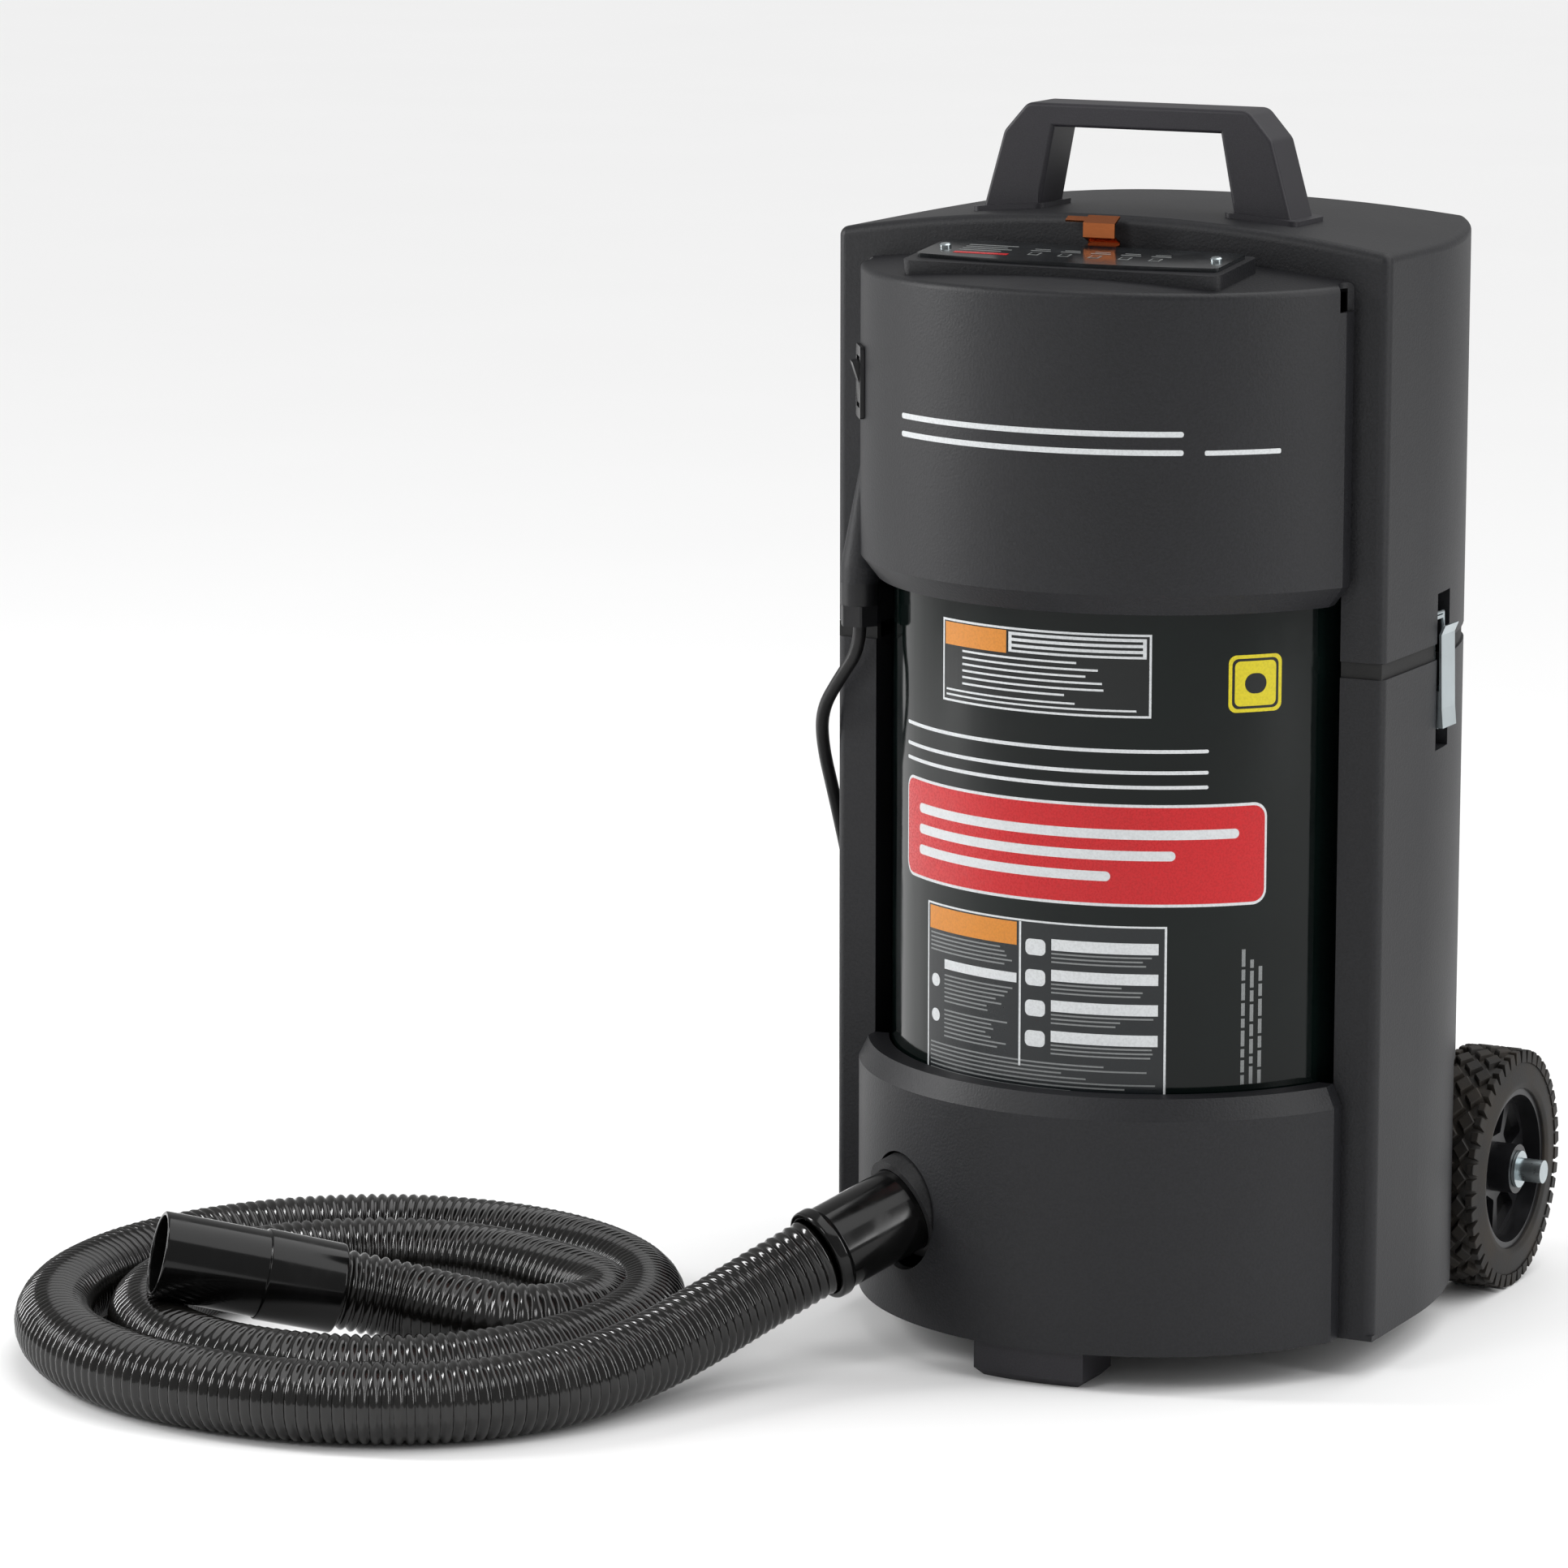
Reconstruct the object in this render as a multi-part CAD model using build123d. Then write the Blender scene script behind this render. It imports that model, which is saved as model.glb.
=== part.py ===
from build123d import *
import math
import os

# Portable extractor: a wheeled base with a filter drum, and a lift-off head with two blowers.
# Modelled with x to the right, -y to the front, z up, and y = 0 on the shells' front plane.
# Every node is shifted along y as it is saved, so that the origin lies under the object's middle.

# Shell outline, seen from above
HALF_WIDTH = 185.0
SIDE_FLAT = 70.0
SIDE_RADIUS = 320.0
SIDE_TURN = 20.0
CORNER_RADIUS = 95.0
WALL = 3.5
FLOOR_THICK = 3.5

# Heights of the shells
BODY_BOTTOM = 24.0
SEAM_LOW = 436.0
SEAM_GAP = 10.0
TOP_CREST = 709.0
TOP_SAGITTA = 16.0
BACK_ROLL = 92.0
ROLL_LIFT = 3.0
TOP_ROUND = 6.0

# Filter drum and the bay round it
DRUM_RADIUS = 161.0
DRUM_Y = 70.0
DRUM_BOTTOM = 146.0
DRUM_TOP = 520.0
DRUM_WALL = 2.5
BAY_CLEARANCE = 3.0
COLUMN_INNER = 157.0
RING_HEIGHT = 12.0
PLEATS = 40
PLEAT_OUTER = 150.0
PLEAT_INNER = 105.0
PLEAT_PAPER = 7.0
CORE_RADIUS = 104.0
CORE_WALL = 2.0
GASKET_HEIGHT = 6.0
GASKET_WIDTH = 18.0

# Front caps
CAP_RADIUS = 182.0
CAP_HALF = 162.6
CAP_WALL = 3.5
UPPER_CAP_BOTTOM = 480.0
UPPER_CAP_BEVEL = 13.0
UPPER_CAP_INSET = 10.0
UPPER_CAP_CREST = 686.0
UPPER_CAP_SAGITTA = 10.0
UPPER_CAP_DROP = 12.0
CAP_ROUND = 4.0
NOTCH_RADIUS = 8.5
NOTCH_Y = -9.0
LOWER_CAP_TOP = 184.0
LOWER_CAP_BEVEL = 13.0
LOWER_CAP_INSET = 6.0
DRUM_PASS = 2.0

# Foot, wheels and axle
FOOT_HALF = 37.0
FOOT_DEPTH = 45.0
FOOT_INSET = 6.0
FOOT_BEVEL = 5.0
WHEEL_RADIUS = 78.0
WHEEL_WIDTH = 42.0
WHEEL_OUTER_X = 182.0
TYRE_INNER = 52.0
RIM_WEB = 6.0
RIM_SPOKES = 7
HUB_RADIUS = 16.0
AXLE_RADIUS = 6.0
AXLE_Y = 251.0
AXLE_CAP_RADIUS = 7.5
AXLE_CAP_LENGTH = 12.0
AXLE_CAP_END = 200.0
WASHER_RADIUS = 12.0
WASHER_THICK = 2.0
RUNNING_GAP = 0.05
SIDE_PLAY = 0.3
WELL_X = 134.0
WELL_Y = 164.0
WELL_TOP = 166.0
CARRIER_HALF = 126.0
CARRIER_HEIGHT = 34.0

# Latches
LATCH_Y = 101.0
LATCH_WIDTH = 22.0
SLOT_LOW = 379.0
SLOT_HIGH = 477.0
SLOT_DEPTH = 12.0
SLOT_SIDE = 2.0
PIVOT_Z = 397.0
PIVOT_X = 180.5
PIVOT_RADIUS = 2.0
LEVER_TOP = 457.0
LEVER_THICK = 1.6
LEVER_TAIL = 4.0
BAIL_PIVOT_Z = 412.0
BAIL_TOP_Z = 463.0
BAIL_RADIUS = 1.2

# Handle
HANDLE_FRONT = 40.0
HANDLE_DEPTH = 35.0
HANDLE_BASE_HALF = 104.0
HANDLE_SHOULDER_HALF = 90.0
HANDLE_TOP_HALF = 74.0
HANDLE_SHOULDER_Z = 754.0
HANDLE_TOP = 772.0
GRIP_HEIGHT = 14.5
OPENING_BASE_HALF = 66.0
OPENING_TOP_HALF = 56.0
FLANGE_MARGIN = 5.5
FLANGE_THICK = 3.0
SCREW_RADIUS = 2.0
SCREW_CLEARANCE = 0.1

# Top plate and clip
PLATE_HALF = 100.0
PLATE_BACK = -17.0
PLATE_FRONT = -67.0
PLATE_THICK = 2.5
PLINTH_MARGIN = 5.0
PLINTH_HEIGHT = 5.0
CLIP_WIDTH = 21.0
CLIP_THICK = 1.2
CLIP_RISE = 18.0
CLIP_FINGER = 11.0

# Switch, boss and gland on the left flank of the upper cap
SWITCH_ANGLE = 57.0
SWITCH_Z = 602.0
SWITCH_WIDTH = 24.0
SWITCH_HEIGHT = 45.0
SWITCH_BEZEL = 2.5
SWITCH_BODY_DEPTH = 20.0
ROCKER_WIDTH = 15.0
ROCKER_HEIGHT = 26.0
ROCKER_TILT = 10.0
BOSS_X = -161.0
BOSS_Y = -15.0
BOSS_APEX = 560.0
BOSS_WIDE_Z = 484.0
BOSS_BOTTOM = 474.0
BOSS_RADIUS = 13.0
GLAND_RADIUS = 12.0
GLAND_BOTTOM = 447.0
GLAND_NUT_HEIGHT = 13.0

# Head internals
DECK_THICK = 4.0
DECK_OPENING = 140.0
MOTOR_X = 78.0
MOTOR_Y = 90.0
FAN_CASE_RADIUS = 66.0
FAN_CASE_HEIGHT = 42.0
FAN_CASE_WALL = 2.5
FAN_EYE = 22.0
FAN_GAP = 3.0
FAN_BLADES = 9
SHAFT_RADIUS = 4.0
MOTOR_RADIUS = 42.0
MOTOR_HEIGHT = 70.0
GRILLE_HALF = 60.0
GRILLE_LOW = 545.0
GRILLE_HIGH = 605.0
GRILLE_SLOTS = 7
BOARD_SIZE = 70.0
BOARD_HEIGHT = 50.0

# Inlet
INLET_ANGLE = 32.5
INLET_Z = 93.0
INLET_DROOP = 20.0
INLET_HOLE = 35.0
COLLAR_OUTER = 33.0
CHAMBER_RADIUS = 148.0
CHAMBER_WALL = 3.0
SCREEN_THICK = 3.0
SCREEN_HOLE = 9.0
SCREEN_RINGS = 4

# Suction hose
HOSE_DIAMETER = 50.0
CUFF_DIAMETER = 55.0
CUFF_BORE = 44.0
CUFF_INSERT = 18.0
CUFF_REACH = 62.0
CUFF_FLANGE = 59.0
CUFF_FLANGE_LENGTH = 7.0
HOSE_BORE = 42.0
COIL_X = -396.0
COIL_Y = -222.0
COIL_OUTER = 224.0
COIL_INNER = 118.0
NOZZLE_BORE = 48.0
NOZZLE_DIAMETER = 54.0
NOZZLE_STEP = 57.0
NOZZLE_START = (-396, -267, 50)
NOZZLE_END = (-480, -338, 78)
HOSE_RUN_POINTS = [
    (-150, -160, 57),
    (-168, -207, 42),
    (-183, -262, 31),
    (-204, -325, 25.5),
    (-245, -380, 25.2),
    (-305, -413, 25.1),
    (-370, -424, 25.1),
]
HOSE_TAIL_POINTS = [
    (-345, -100, 25.1),
    (-292, -124, 25.2),
    (-262, -160, 26),
    (-264, -203, 28.5),
    (-292, -235, 32),
    (-333, -240, 36),
    (-370.8, -245.7, 41.6),
    NOZZLE_START,
]

# Power cord
CORD_DIAMETER = 8.4
CORD_EXIT_GAP = 0.3
CORD_COIL_X = -70.0
CORD_COIL_Y = 335.0
CORD_COIL_MID = 50.0
CORD_COIL_WIDE = 3
CORD_COIL_HIGH = 3
CORD_COIL_Z = 1.5
CORD_TIE_WIDTH = 12.0
CORD_TIE_THICK = 1.2
CORD_TIE_SLACK = 0.7
PLUG_RADIUS = 14.0
PLUG_LENGTH = 38.0
CORD_POINTS = [
    (-161, -15, 432),
    (-175, -15, 412),
    (-191, -8, 390),
    (-199, 8, 364),
    (-201, 30, 325),
    (-200, 54, 265),
    (-202, 74, 190),
    (-203, 88, 110),
    (-206, 106, 45),
    (-208, 140, 10),
    (-211, 190, 4.3),
    (-212, 250, 4.4),
    (-205, 310, 4.3),
    (-178, 356, 4.4),
    (-130, 388, 5.7),
    (-75, 393.4, 5.7),
]
CORD_END_POINTS = [
    (-40, 372, 18),
    (-12, 362, 14),
    (6, 338, 13.5),
    (12, 308, 14.2),
]

SEAM_HIGH = SEAM_LOW + SEAM_GAP
CORNER_X = HALF_WIDTH - SIDE_RADIUS + (SIDE_RADIUS - CORNER_RADIUS) * math.cos(math.radians(SIDE_TURN))
CORNER_Y = SIDE_FLAT + (SIDE_RADIUS - CORNER_RADIUS) * math.sin(math.radians(SIDE_TURN))
BACK_Y = CORNER_Y + CORNER_RADIUS
BAY_RADIUS = DRUM_RADIUS + BAY_CLEARANCE
SHELF_LOW = DRUM_TOP + GASKET_HEIGHT + SIDE_PLAY
DECK_LOW = SHELF_LOW + WALL
FAN_LOW = DECK_LOW + DECK_THICK
CAP_FRONT = DRUM_Y - CAP_RADIUS
TOP_SLOPE = UPPER_CAP_DROP / -CAP_FRONT
TOP_TILT = math.degrees(math.atan(TOP_SLOPE))
ORIGIN_Y = (AXLE_Y + WHEEL_RADIUS + CAP_FRONT) / 2
FAR = 900.0


def save(name, shape):
    """Write one node, shifted so that the row's origin lies under the object's middle."""
    placed = Pos(0, -ORIGIN_Y, 0) * shape
    placed.label = name
    export_step(placed, f"parts/{name}.step")


def block(x0, x1, y0, y1, z0, z1):
    """A box between two corners."""
    size = Box(x1 - x0, y1 - y0, z1 - z0)
    return Pos((x0 + x1) / 2, (y0 + y1) / 2, (z0 + z1) / 2) * size


def disc(radius, z0, z1, x=0.0, y=DRUM_Y):
    """An upright cylinder between two heights."""
    return Pos(x, y, (z0 + z1) / 2) * Cylinder(radius, z1 - z0)


def ring(outer, inner, z0, z1, x=0.0, y=DRUM_Y):
    """An upright ring between two heights."""
    return disc(outer, z0, z1, x, y) - disc(inner, z0 - 1, z1 + 1, x, y)


def rod(radius, x0, x1, y, z):
    """A cylinder along x."""
    return Pos((x0 + x1) / 2, y, z) * Rot(0, 90, 0) * Cylinder(radius, x1 - x0)


def rod_y(radius, y0, y1, x, z):
    """A cylinder along y."""
    return Pos(x, (y0 + y1) / 2, z) * Rot(90, 0, 0) * Cylinder(radius, y1 - y0)


def both_sides(shape):
    """The shape and its mirror image, as two solids."""
    return Part() + [shape, mirror(shape, Plane.YZ)]


def body_plan(inset=0.0):
    """The shells' outline from above, drawn in by an inset all round."""
    half = HALF_WIDTH - inset
    side = SIDE_RADIUS - inset
    corner = CORNER_RADIUS - inset
    centre_x = HALF_WIDTH - SIDE_RADIUS

    def on_side(angle):
        turn = math.radians(angle)
        return (centre_x + side * math.cos(turn), SIDE_FLAT + side * math.sin(turn))

    def on_corner(angle):
        turn = math.radians(angle)
        return (CORNER_X + corner * math.cos(turn), CORNER_Y + corner * math.sin(turn))

    front = (half, inset)
    edges = [
        Line((0, inset), front),
        Line(front, (half, SIDE_FLAT)),
        ThreePointArc((half, SIDE_FLAT), on_side(SIDE_TURN / 2), on_side(SIDE_TURN)),
        ThreePointArc(on_corner(SIDE_TURN), on_corner((SIDE_TURN + 90) / 2), on_corner(90)),
        Line(on_corner(90), (0, CORNER_Y + corner)),
    ]
    half_face = make_face(edges + [Line((0, CORNER_Y + corner), (0, inset))])
    return half_face + mirror(half_face, Plane.YZ)


def bay_cut(z0, z1, grow=0.0):
    """The round bay that the drum stands in, open to the front between the columns."""
    opening = COLUMN_INNER + grow
    return disc(BAY_RADIUS + grow, z0, z1) + block(-opening, opening, CAP_FRONT - 50, DRUM_Y, z0, z1)


def arch_form(drop=0.0):
    """All space under the arched top of the head."""
    radius = (HALF_WIDTH ** 2 + TOP_SAGITTA ** 2) / (2 * TOP_SAGITTA)
    arc_radius = radius - drop
    centre_z = TOP_CREST - radius
    half = HALF_WIDTH + 30
    end_z = centre_z + math.sqrt(arc_radius ** 2 - half ** 2)
    face = make_face([
        ThreePointArc((-half, end_z), (0, centre_z + arc_radius), (half, end_z)),
        Polyline((half, end_z), (half, -10), (-half, -10), (-half, end_z)),
    ])
    return Pos(0, FAR, 0) * extrude(Plane.XZ * face, 2 * FAR)


def back_form(inset=0.0):
    """All space in front of the head's rolled back edge."""
    radius = BACK_ROLL - inset + ROLL_LIFT
    centre_y = BACK_Y - BACK_ROLL
    centre_z = TOP_CREST - BACK_ROLL
    slant = radius * math.sqrt(0.5)
    face = make_face([
        Line((-FAR, -10), (centre_y + radius, -10)),
        Line((centre_y + radius, -10), (centre_y + radius, centre_z)),
        ThreePointArc(
            (centre_y + radius, centre_z),
            (centre_y + slant, centre_z + slant),
            (centre_y, centre_z + radius),
        ),
        Line((centre_y, centre_z + radius), (-FAR, centre_z + radius)),
        Line((-FAR, centre_z + radius), (-FAR, -10)),
    ])
    return Pos(-FAR, 0, 0) * extrude(Plane.YZ * face, 2 * FAR)


def head_form(inset=0.0, bottom=SEAM_HIGH):
    """The outside of the upper shell, or its inside with an inset."""
    column = Pos(0, 0, bottom) * extrude(body_plan(inset), TOP_CREST + 30 - bottom)
    return column & arch_form(inset) & back_form(inset)


def latch_slot(grow=0.0):
    """The recess in the right side wall that holds a latch."""
    half = LATCH_WIDTH / 2 + SLOT_SIDE + grow
    inner = HALF_WIDTH - SLOT_DEPTH - grow
    return block(inner, HALF_WIDTH + 5, LATCH_Y - half, LATCH_Y + half, SLOT_LOW - grow, SLOT_HIGH + grow)


def wheel_well(grow=0.0):
    """The space cut out of the lower shell for the right wheel."""
    return block(WELL_X - grow, HALF_WIDTH + 5, WELL_Y - grow, BACK_Y + 5, 0, WELL_TOP + grow)


def shell_pockets(z0, z1):
    """The hollow between the shells' outer wall and the wall of the bay, on both sides."""
    inner = Pos(0, 0, z0) * extrude(body_plan(WALL), z1 - z0)
    inner -= block(-45, 45, -50, BACK_Y + 5, z0 - 1, z1 + 1)
    return inner - bay_cut(z0 - 1, z1 + 1, grow=WALL + 2)


def lower_shell():
    """Lower shell: double walled, open at the front, with wheel wells and latch recesses."""
    shell = Pos(0, 0, BODY_BOTTOM) * extrude(body_plan(), SEAM_LOW - BODY_BOTTOM)
    upright = shell.edges().filter_by(Axis.Z)
    shell = fillet([e for e in upright if abs(e.center().Y) < 1], TOP_ROUND)
    shell -= bay_cut(BODY_BOTTOM + FLOOR_THICK, SEAM_LOW + 1)
    pockets = shell_pockets(BODY_BOTTOM + WALL, SEAM_LOW + 1)
    pockets -= both_sides(wheel_well(WALL))
    pockets -= both_sides(latch_slot(WALL))
    shell -= pockets
    shell -= both_sides(wheel_well())
    shell -= both_sides(latch_slot())
    floor = Pos(0, 0, BODY_BOTTOM) * extrude(body_plan(), FLOOR_THICK)
    floor -= both_sides(wheel_well())
    return shell + floor


def seam_gasket():
    """Soft lip on the lower shell's rim that the head rests on."""
    outer = extrude(body_plan(1.5), SEAM_GAP - SIDE_PLAY)
    inner = extrude(body_plan(6.5), SEAM_GAP)
    lip = Pos(0, 0, SEAM_LOW) * (outer - inner)
    lip -= bay_cut(SEAM_LOW - 1, SEAM_HIGH + 1)
    return lip - both_sides(latch_slot(1.0))


def upper_shell():
    """Upper shell: arched hood with a shelf over the drum and columns beside it."""
    shell = head_form()
    shell = fillet([e for e in shell.edges() if is_outer_rim(e)], TOP_ROUND)
    shell -= head_form(WALL, DECK_LOW)
    shell -= bay_cut(SEAM_HIGH - 1, SHELF_LOW)
    shell -= disc(DECK_OPENING, SHELF_LOW - 1, DECK_LOW + 1)
    shell -= block(-COLUMN_INNER, COLUMN_INNER, -1, 30, SHELF_LOW - 1, UPPER_CAP_CREST - 16)
    pockets = shell_pockets(SEAM_HIGH - 1, SHELF_LOW - WALL)
    shell -= pockets - both_sides(latch_slot(WALL))
    shell -= both_sides(latch_slot())
    shell -= block(-GRILLE_HALF, GRILLE_HALF, BACK_Y - 20, BACK_Y + 5, GRILLE_LOW, GRILLE_HIGH)
    for x, y in handle_screw_places():
        shell -= disc(SCREW_RADIUS + SCREW_CLEARANCE, TOP_CREST - 40, TOP_CREST + 5, x, y)
    return shell


def is_outer_rim(edge):
    """True for the edges round the arched top's sides and round the front face."""
    middle = edge.center()
    on_front = abs(middle.Y) < 1 and middle.Z > SEAM_HIGH + 1
    on_side = abs(middle.X) > CORNER_X and middle.Z > TOP_CREST - BACK_ROLL / 2 - 10
    return on_front or on_side


def cap_plan(inset=0.0, back=0.0):
    """A front cap's outline from above: a wide arc and two short straight sides."""
    radius = CAP_RADIUS - inset
    half = CAP_HALF - inset
    arc_y = DRUM_Y - math.sqrt(radius ** 2 - half ** 2)
    arc = ThreePointArc((-half, arc_y), (0, DRUM_Y - radius), (half, arc_y))
    sides = Polyline((half, arc_y), (half, back), (-half, back), (-half, arc_y))
    return make_face([arc, sides])


def bevel_band(inset_low, inset_high, z0, z1):
    """A band of cap wall whose outline grows or shrinks from one height to the next."""
    low = Pos(0, 0, z0) * cap_plan(inset_low)
    high = Pos(0, 0, z1) * cap_plan(inset_high)
    return loft([low, high], ruled=True)


def cap_top(drop=0.0):
    """All space under the upper cap's arched, forward-sloping top."""
    radius = (CAP_HALF ** 2 + UPPER_CAP_SAGITTA ** 2) / (2 * UPPER_CAP_SAGITTA)
    barrel = rod_y(radius - drop, -FAR, FAR, 0, -radius)
    barrel = barrel & block(-CAP_HALF - 30, CAP_HALF + 30, -FAR, FAR, -300, 50)
    return Pos(0, 0, UPPER_CAP_CREST) * Rot(TOP_TILT, 0, 0) * barrel


def tilted(x, y, lift):
    """A place on the upper cap's sloping top plane."""
    return Pos(0, 0, UPPER_CAP_CREST) * Rot(TOP_TILT, 0, 0) * Pos(x, y, lift)


def plinth():
    """Raised flat on the upper cap under the top plate."""
    depth = PLATE_BACK - PLATE_FRONT + 2 * PLINTH_MARGIN
    middle = (PLATE_BACK + PLATE_FRONT) / 2
    pad = Box(2 * (PLATE_HALF + PLINTH_MARGIN), depth, PLINTH_HEIGHT + 12)
    pad = fillet(pad.edges().filter_by(Axis.Z), 6)
    return tilted(0, middle, (PLINTH_HEIGHT - 12) / 2) * pad


def boss():
    """Half-buried cone on the cap's left flank that guides the cord down to its gland."""
    upper = Pos(BOSS_X, BOSS_Y + 2, 0) * loft([
        Pos(0, 0, BOSS_WIDE_Z) * Circle(BOSS_RADIUS),
        Pos(2, 4, BOSS_APEX) * Circle(2.0),
    ])
    lower = Pos(BOSS_X, BOSS_Y, 0) * loft([
        Pos(0, 0, BOSS_BOTTOM) * Circle(BOSS_RADIUS - 1),
        Pos(0, 2, BOSS_WIDE_Z) * Circle(BOSS_RADIUS),
    ])
    return upper + lower


def flank_place(radius, z):
    """A place on the cap's left flank, with its own x axis pointing straight out."""
    turn = 270 - SWITCH_ANGLE
    return Pos(0, DRUM_Y, z) * Rot(0, 0, turn) * Pos(radius, 0, 0)


def upper_front_cap():
    """Upper cap: curved cover over the blowers, with a lip round the drum."""
    z_bevel = UPPER_CAP_BOTTOM + UPPER_CAP_BEVEL
    solid = Pos(0, 0, z_bevel) * extrude(cap_plan(), 230)
    solid = solid & cap_top()
    high = [e for e in solid.edges() if e.center().Z > UPPER_CAP_CREST - 20]
    solid = fillet([e for e in high if abs(e.center().Y) > 1], CAP_ROUND)
    solid += bevel_band(UPPER_CAP_INSET, 0, UPPER_CAP_BOTTOM, z_bevel)
    solid += plinth() & (Pos(0, 0, z_bevel) * extrude(cap_plan(), 230))
    inner = Pos(0, 0, z_bevel) * extrude(cap_plan(CAP_WALL, 1.0), 230)
    inner = inner & cap_top(CAP_WALL)
    inner += loft([
        Pos(0, 0, UPPER_CAP_BOTTOM + CAP_WALL) * cap_plan(UPPER_CAP_INSET + CAP_WALL, 1.0),
        Pos(0, 0, z_bevel) * cap_plan(CAP_WALL, 1.0),
    ], ruled=True)
    solid += boss()
    solid -= inner
    solid -= disc(DRUM_RADIUS + DRUM_PASS, 0, z_bevel)
    solid -= block(-FAR, FAR, 0, FAR, 0, FAR)
    solid -= flank_place(CAP_RADIUS, SWITCH_Z) * Box(40, SWITCH_WIDTH - 3, SWITCH_HEIGHT - 3)
    for side in (-1, 1):
        solid -= Pos(side * (CAP_HALF + 2), NOTCH_Y, UPPER_CAP_CREST - 10) * Cylinder(NOTCH_RADIUS, 34)
        solid -= tilted(side * (PLATE_HALF - 10), -40, 0) * Cylinder(SCREW_RADIUS + SCREW_CLEARANCE, 40)
    return solid


def lower_front_cap():
    """Lower cap: curved cover round the drum's foot, with the hose port."""
    z_bevel = LOWER_CAP_TOP - LOWER_CAP_BEVEL
    solid = Pos(0, 0, BODY_BOTTOM) * extrude(cap_plan(), z_bevel - BODY_BOTTOM)
    solid += bevel_band(0, LOWER_CAP_INSET, z_bevel, LOWER_CAP_TOP)
    low = BODY_BOTTOM + CAP_WALL
    inner = Pos(0, 0, low) * extrude(cap_plan(CAP_WALL, 1.0), z_bevel - low)
    inner += loft([
        Pos(0, 0, z_bevel) * cap_plan(CAP_WALL, 1.0),
        Pos(0, 0, LOWER_CAP_TOP - CAP_WALL) * cap_plan(LOWER_CAP_INSET + CAP_WALL, 1.0),
    ], ruled=True)
    solid -= inner
    solid -= disc(DRUM_RADIUS + DRUM_PASS, z_bevel, FAR)
    solid -= block(-FAR, FAR, 0, FAR, 0, FAR)
    solid -= inlet_axis() * Pos(0, 0, 0) * Cylinder(INLET_HOLE, 60)
    for side in (-1, 1):
        solid -= disc(SCREW_RADIUS + SCREW_CLEARANCE, 0, 60, side * FOOT_HALF / 2, foot_screw_y())
    return solid


def inlet_axis():
    """The hose port's place, with its own z axis pointing out along the hose."""
    place = Pos(0, DRUM_Y, INLET_Z) * Rot(0, 0, -90 - INLET_ANGLE) * Pos(CAP_RADIUS, 0, 0)
    return place * Rot(0, 90 + INLET_DROOP, 0)


def inlet_point(distance):
    """A point on the hose port's axis."""
    return (inlet_axis() * Pos(0, 0, distance)).position


def inlet_chamber():
    """Round dust chamber under the drum."""
    low = BODY_BOTTOM + FLOOR_THICK
    chamber = disc(CHAMBER_RADIUS, low, DRUM_BOTTOM - SCREEN_THICK)
    chamber -= disc(CHAMBER_RADIUS - CHAMBER_WALL, low + CHAMBER_WALL, DRUM_BOTTOM)
    return chamber - inlet_axis() * Pos(0, 0, -30) * Cylinder(COLLAR_OUTER, 90)


def inlet_collar():
    """Socket that carries the hose cuff through the cap into the dust chamber."""
    collar = Pos(0, 0, -22) * Cylinder(COLLAR_OUTER, 40)
    collar -= Pos(0, 0, -22) * Cylinder(CUFF_DIAMETER / 2 + 0.1, 42)
    stop = Pos(0, 0, -40) * Cylinder(COLLAR_OUTER, 4) - Pos(0, 0, -40) * Cylinder(CUFF_BORE / 2, 6)
    return inlet_axis() * (collar + stop)


def spark_screen():
    """Pierced steel disc between the dust chamber and the drum."""
    screen = disc(CHAMBER_RADIUS, DRUM_BOTTOM - SCREEN_THICK, DRUM_BOTTOM)
    for row in range(1, SCREEN_RINGS + 1):
        radius = row * CHAMBER_RADIUS / (SCREEN_RINGS + 1)
        hole = Cylinder(SCREEN_HOLE, SCREEN_THICK + 2)
        holes = [place * hole for place in PolarLocations(radius, 6 * row)]
        screen -= [Pos(0, DRUM_Y, DRUM_BOTTOM - SCREEN_THICK / 2) * cut for cut in holes]
    return screen


def filter_media():
    """Pleated paper: a star-shaped band between the core and the drum."""
    low = DRUM_BOTTOM + RING_HEIGHT
    band = pleat_star(PLEAT_PAPER) - pleat_star(0.0)
    return Pos(0, DRUM_Y, low) * extrude(band, DRUM_TOP - RING_HEIGHT - low)


def pleat_star(grow):
    """The pleats' zigzag outline, with its tips and roots moved out together."""
    points = []
    for step in range(2 * PLEATS):
        radius = (PLEAT_OUTER if step % 2 == 0 else PLEAT_INNER) + grow
        angle = math.pi * step / PLEATS
        points.append((radius * math.cos(angle), radius * math.sin(angle)))
    return make_face(Polyline(*points, close=True))


def filter_rings():
    """The two moulded end rings that close the drum."""
    inside = DRUM_RADIUS - DRUM_WALL
    low = ring(inside, CORE_RADIUS - CORE_WALL - 4, DRUM_BOTTOM, DRUM_BOTTOM + RING_HEIGHT)
    high = ring(inside, CORE_RADIUS - CORE_WALL - 4, DRUM_TOP - RING_HEIGHT, DRUM_TOP)
    return Part() + [low, high]


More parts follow.
